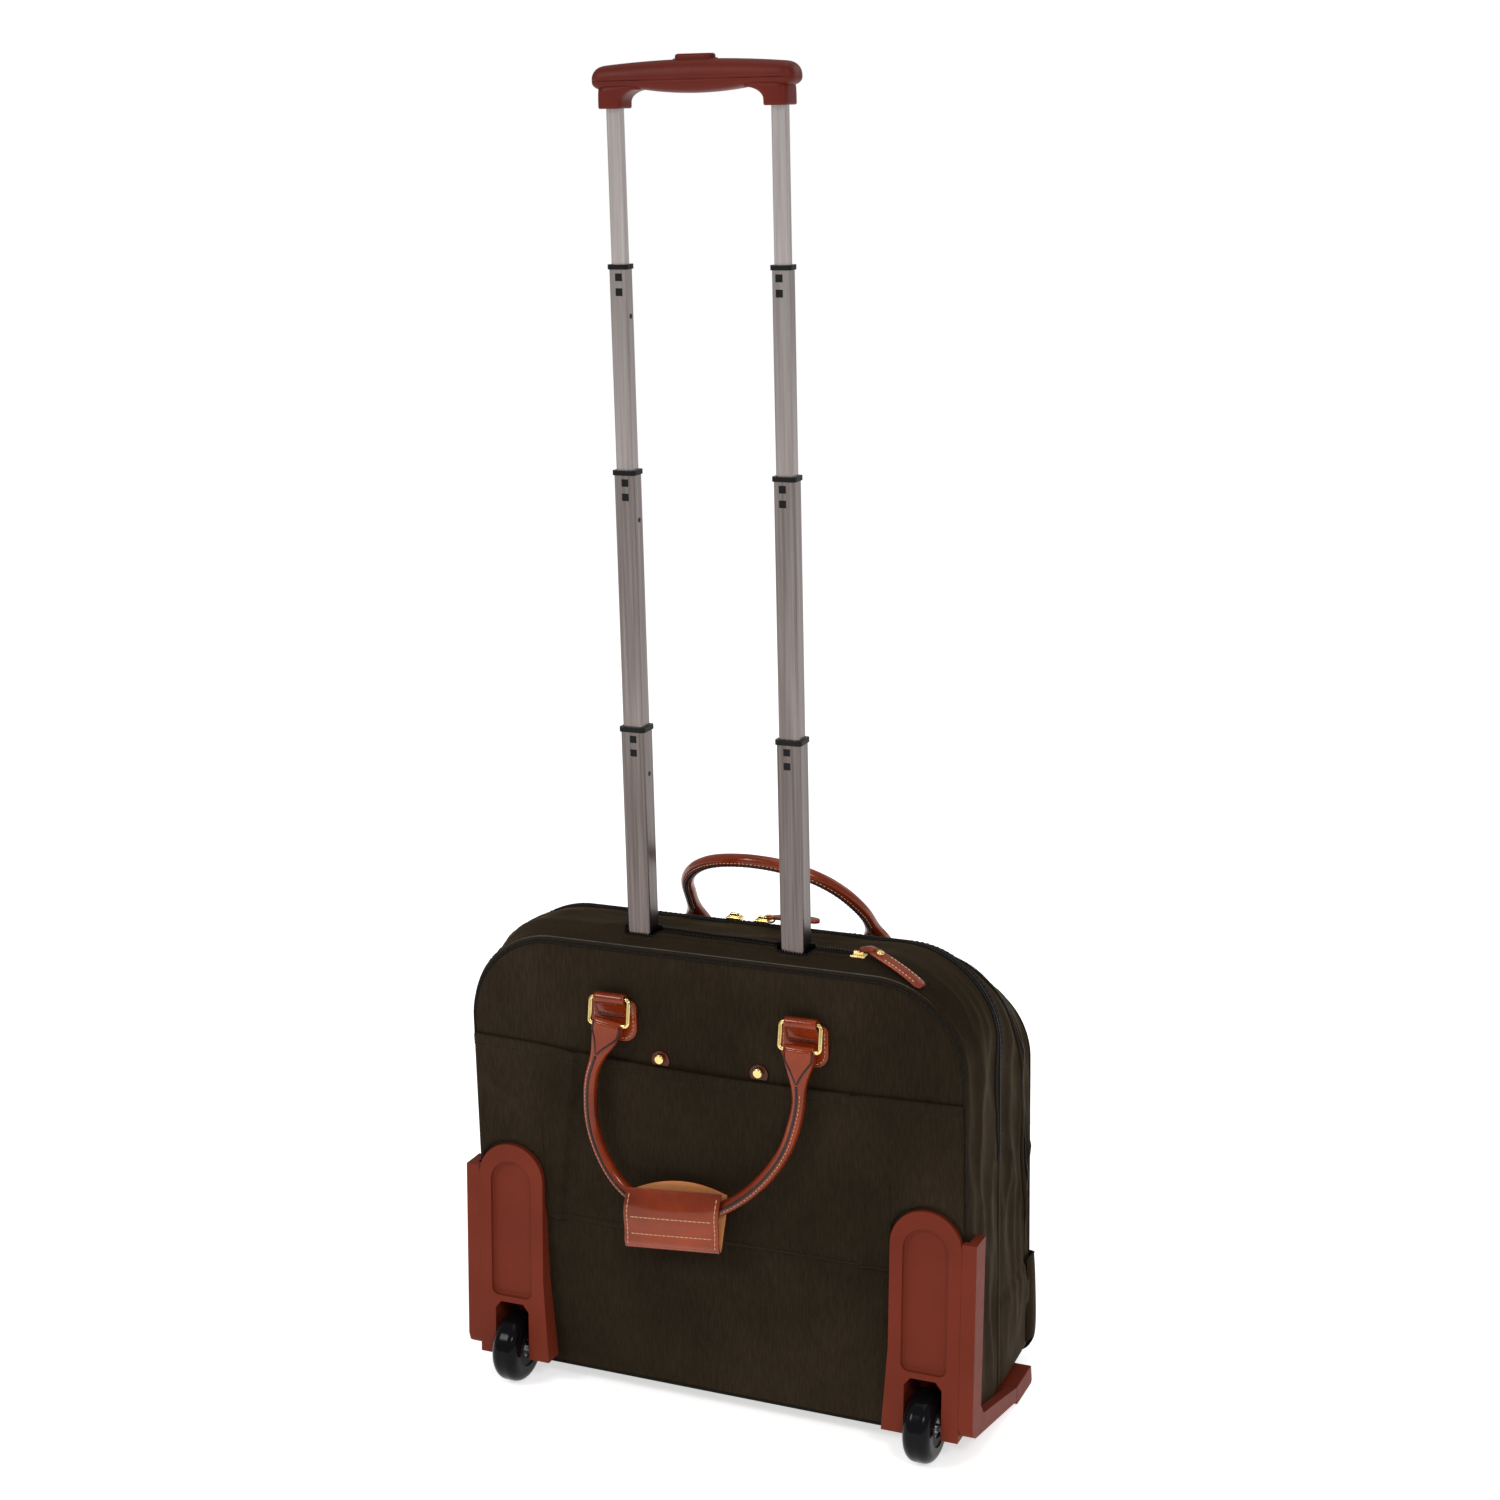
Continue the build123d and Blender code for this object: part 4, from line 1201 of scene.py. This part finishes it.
# ---- zip pulls ----
UP = Vector((0, 0, 1))


def pull_tab(name, body, path, half, thick, taper):
    """Leather strip along a path, its width following taper(share of the length)."""
    def section(i):
        return oval(half * taper(i / (len(path) - 1)), thick / 2, 5, 16)
    return make(name, sweep(path, [UP] * len(path), section), LEATHER, body)


def main_pull():
    """Leather tab with a rounded end, lying along the top from the right slider."""
    low, high = case_box("main_puller")
    depth, z = (low.y + high.y) / 2, (low.z + high.z) / 2
    start, end = low.x - 3.0, high.x

    def line(share):
        return Vector((start + (end - start) * share, depth + math.sin(share * 3),
                       z - 1.2 + 1.8 * math.sin(share * 2.4)))

    def taper(share):
        end_round = math.sqrt(max(0.0, 1 - max(0.0, (share - 0.87) / 0.13) ** 2))
        return max(0.12, (0.62 + 0.38 * smooth((share - 0.1) / 0.2)) * end_round)

    shares = steps(0, 1, 30)
    tab = pull_tab("main_pull_tab", "main_pull", [line(t) for t in shares], 5.4, 2.4, taper)
    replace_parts(tab, "main_puller")
    for tag, side in (("a", -1), ("b", 1)):
        row = [line(t) + Vector((0, side * 3.9 * taper(t), 1.15)) for t in shares[8:28]]
        make(f"main_pull_stitches_{tag}", stitches(row, UP), THREAD, "main_pull")
    round_link = map(circle, steps(0, 360, 20)[:-1])
    link = [Vector((start + 1.5 + 4.2 * c, depth, z - 2.2 + 3.0 * v)) for c, v in round_link]
    make("main_pull_link", closed_tube(link, 0.75), BRASS, "main_pull")


SLOT_PULL_TURN, SLOT_PULL_LENGTH = -17.0, 56.0
SLOT_PULL_SAG = [(0, -1.5), (6, 0.6), (12, 0.2), (20, -2.4), (32, -6.5), (44, -11.5), (56, -17.5)]


def slot_pull():
    """Stitched leather strip with a brass stud, bent over the bag's top corner."""
    anchor = Vector(JOINT["slot_pull_lift"]["pos_m"])
    depth, z = pivot("slot_pull_lift")
    c, v = circle(SLOT_PULL_TURN)
    across, up = Vector((-v, c, 0)), Vector((0.25, 0, 1)).normalized()

    def line(reach):
        return Vector((anchor.x / MM + reach * c, depth + reach * v, z + table(SLOT_PULL_SAG, reach)[0]))

    def taper(share):
        reach = share * SLOT_PULL_LENGTH
        if reach < 20:
            return 0.55 + 0.45 * smooth((reach - 9) / 4)
        return 1.0 - 0.35 * smooth((reach - SLOT_PULL_LENGTH + 3) / 3)

    path = [line(r) for r in steps(0, SLOT_PULL_LENGTH, 40)]
    tab = pull_tab("slot_pull_tab", "slot_pull", path, 5.6, 2.3, taper)
    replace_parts(tab, "slot_puller")
    pieces = [tab]
    for tag, side in (("a", -1), ("b", 1)):
        row = [line(r) + across * (side * 3.8) + up * 1.2 for r in steps(22, 53, 30)]
        seam = stitches(row, up)
        pieces.append(make(f"slot_pull_stitches_{tag}", seam, PALE_THREAD, "slot_pull"))
    keeper = [line(r) + up * 1.2 for r in steps(1, 13, 8)]
    shape = sweep(keeper, [up] * len(keeper), lambda i: oval(3.6, 1.5, 3, 14))
    pieces.append(make("slot_pull_keeper", shape, LEATHER, "slot_pull"))
    heights, radii = (0.6, 1.6, 2.6, 3.3, 3.6), (3.1, 3.3, 3.0, 1.9, 0.5)
    stud = [line(17) + up * h for h in heights]
    shape = sweep(stud, [Vector((0, 1, 0))] * 5, lambda i: oval(radii[i], radii[i], 2, 20))
    pieces.append(make("slot_pull_stud", shape, BRASS, "slot_pull"))
    for piece in pieces:
        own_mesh(piece)


# ---- stage ----
# name, place in metres, size, power, and the point it shines at
LIGHTS = [
    ("key", (-1.5, -2.2, 2.3), 0.9, 32, (0, 0, 0.35)),
    ("fill", (1.6, -1.9, 2.0), 0.5, 18, (0, 0, 0.4)),
    ("top", (0.2, 0.3, 3.0), 2.0, 16, (0, 0, 0.3)),
    ("rim", (1.2, 2.4, 1.8), 1.2, 6, (0, 0, 0.5)),
]
SOFT_LIGHT = 0.48


def studio():
    """Pale floor and soft lamps, in front of a backdrop that the camera sees as plain white."""
    bpy.ops.mesh.primitive_plane_add(size=14)
    floor = bpy.context.object
    floor.name = "floor"
    floor.data.materials.append(floor_finish())
    world = bpy.data.worlds.new("studio")
    SCENE.world = world
    world.use_nodes = True
    tree = world.node_tree
    soft = tree.nodes["Background"]
    soft.inputs["Strength"].default_value = SOFT_LIGHT
    soft.inputs["Color"].default_value = WHITE
    backdrop = tree.nodes.new("ShaderNodeBackground")
    backdrop.inputs["Color"].default_value = WHITE
    seen = tree.nodes.new("ShaderNodeLightPath")
    choice = tree.nodes.new("ShaderNodeMixShader")
    tree.links.new(seen.outputs["Is Camera Ray"], choice.inputs["Fac"])
    tree.links.new(soft.outputs["Background"], choice.inputs[1])
    tree.links.new(backdrop.outputs["Background"], choice.inputs[2])
    tree.links.new(choice.outputs["Shader"], tree.nodes["World Output"].inputs["Surface"])
    for name, place, size, power, target in LIGHTS:
        data = bpy.data.lights.new(name, "AREA")
        data.size = size
        data.energy = power
        light = bpy.data.objects.new(name, data)
        light.location = place
        light.rotation_euler = (Vector(target) - Vector(place)).to_track_quat("-Z", "Y").to_euler()
        SCENE.collection.objects.link(light)
    SCENE.view_settings.view_transform = "Standard"


CAMERA_PLACE, CAMERA_TARGET = (753.1, -1613.4, 996.9), (12.9, 60.0, 524.8)
CAMERA_ROLL, CAMERA_LENS = -1.33, 60.05        # degrees and millimetres


def camera():
    data = bpy.data.cameras.new("camera")
    data.lens = CAMERA_LENS
    cam = bpy.data.objects.new("camera", data)
    place, target = metres(CAMERA_PLACE), metres(CAMERA_TARGET)
    look = (target - place).to_track_quat("-Z", "Y").to_matrix().to_4x4()
    roll = Matrix.Rotation(math.radians(CAMERA_ROLL), 4, "Z")
    cam.matrix_world = Matrix.Translation(place) @ look @ roll
    SCENE.collection.objects.link(cam)
    SCENE.camera = cam


camera()
studio()
rear_shell()
front_shell()
back_panel()
front_panel()
piping()
main_zip()
side_seam()
front_zip()
slot_zip()
back_pocket()
front_pocket()
inner_walls()
chapes()
rolled_handle("back", BACK_ROUTE, BACK_HANG, THREAD, [("inner", -0.42)])
rolled_handle("front", FRONT_ROUTE, FRONT_HANG, PALE_THREAD, [("inner", -0.42), ("outer", 0.42)])
handle_wrap()
grip()
main_pull()
slot_pull()
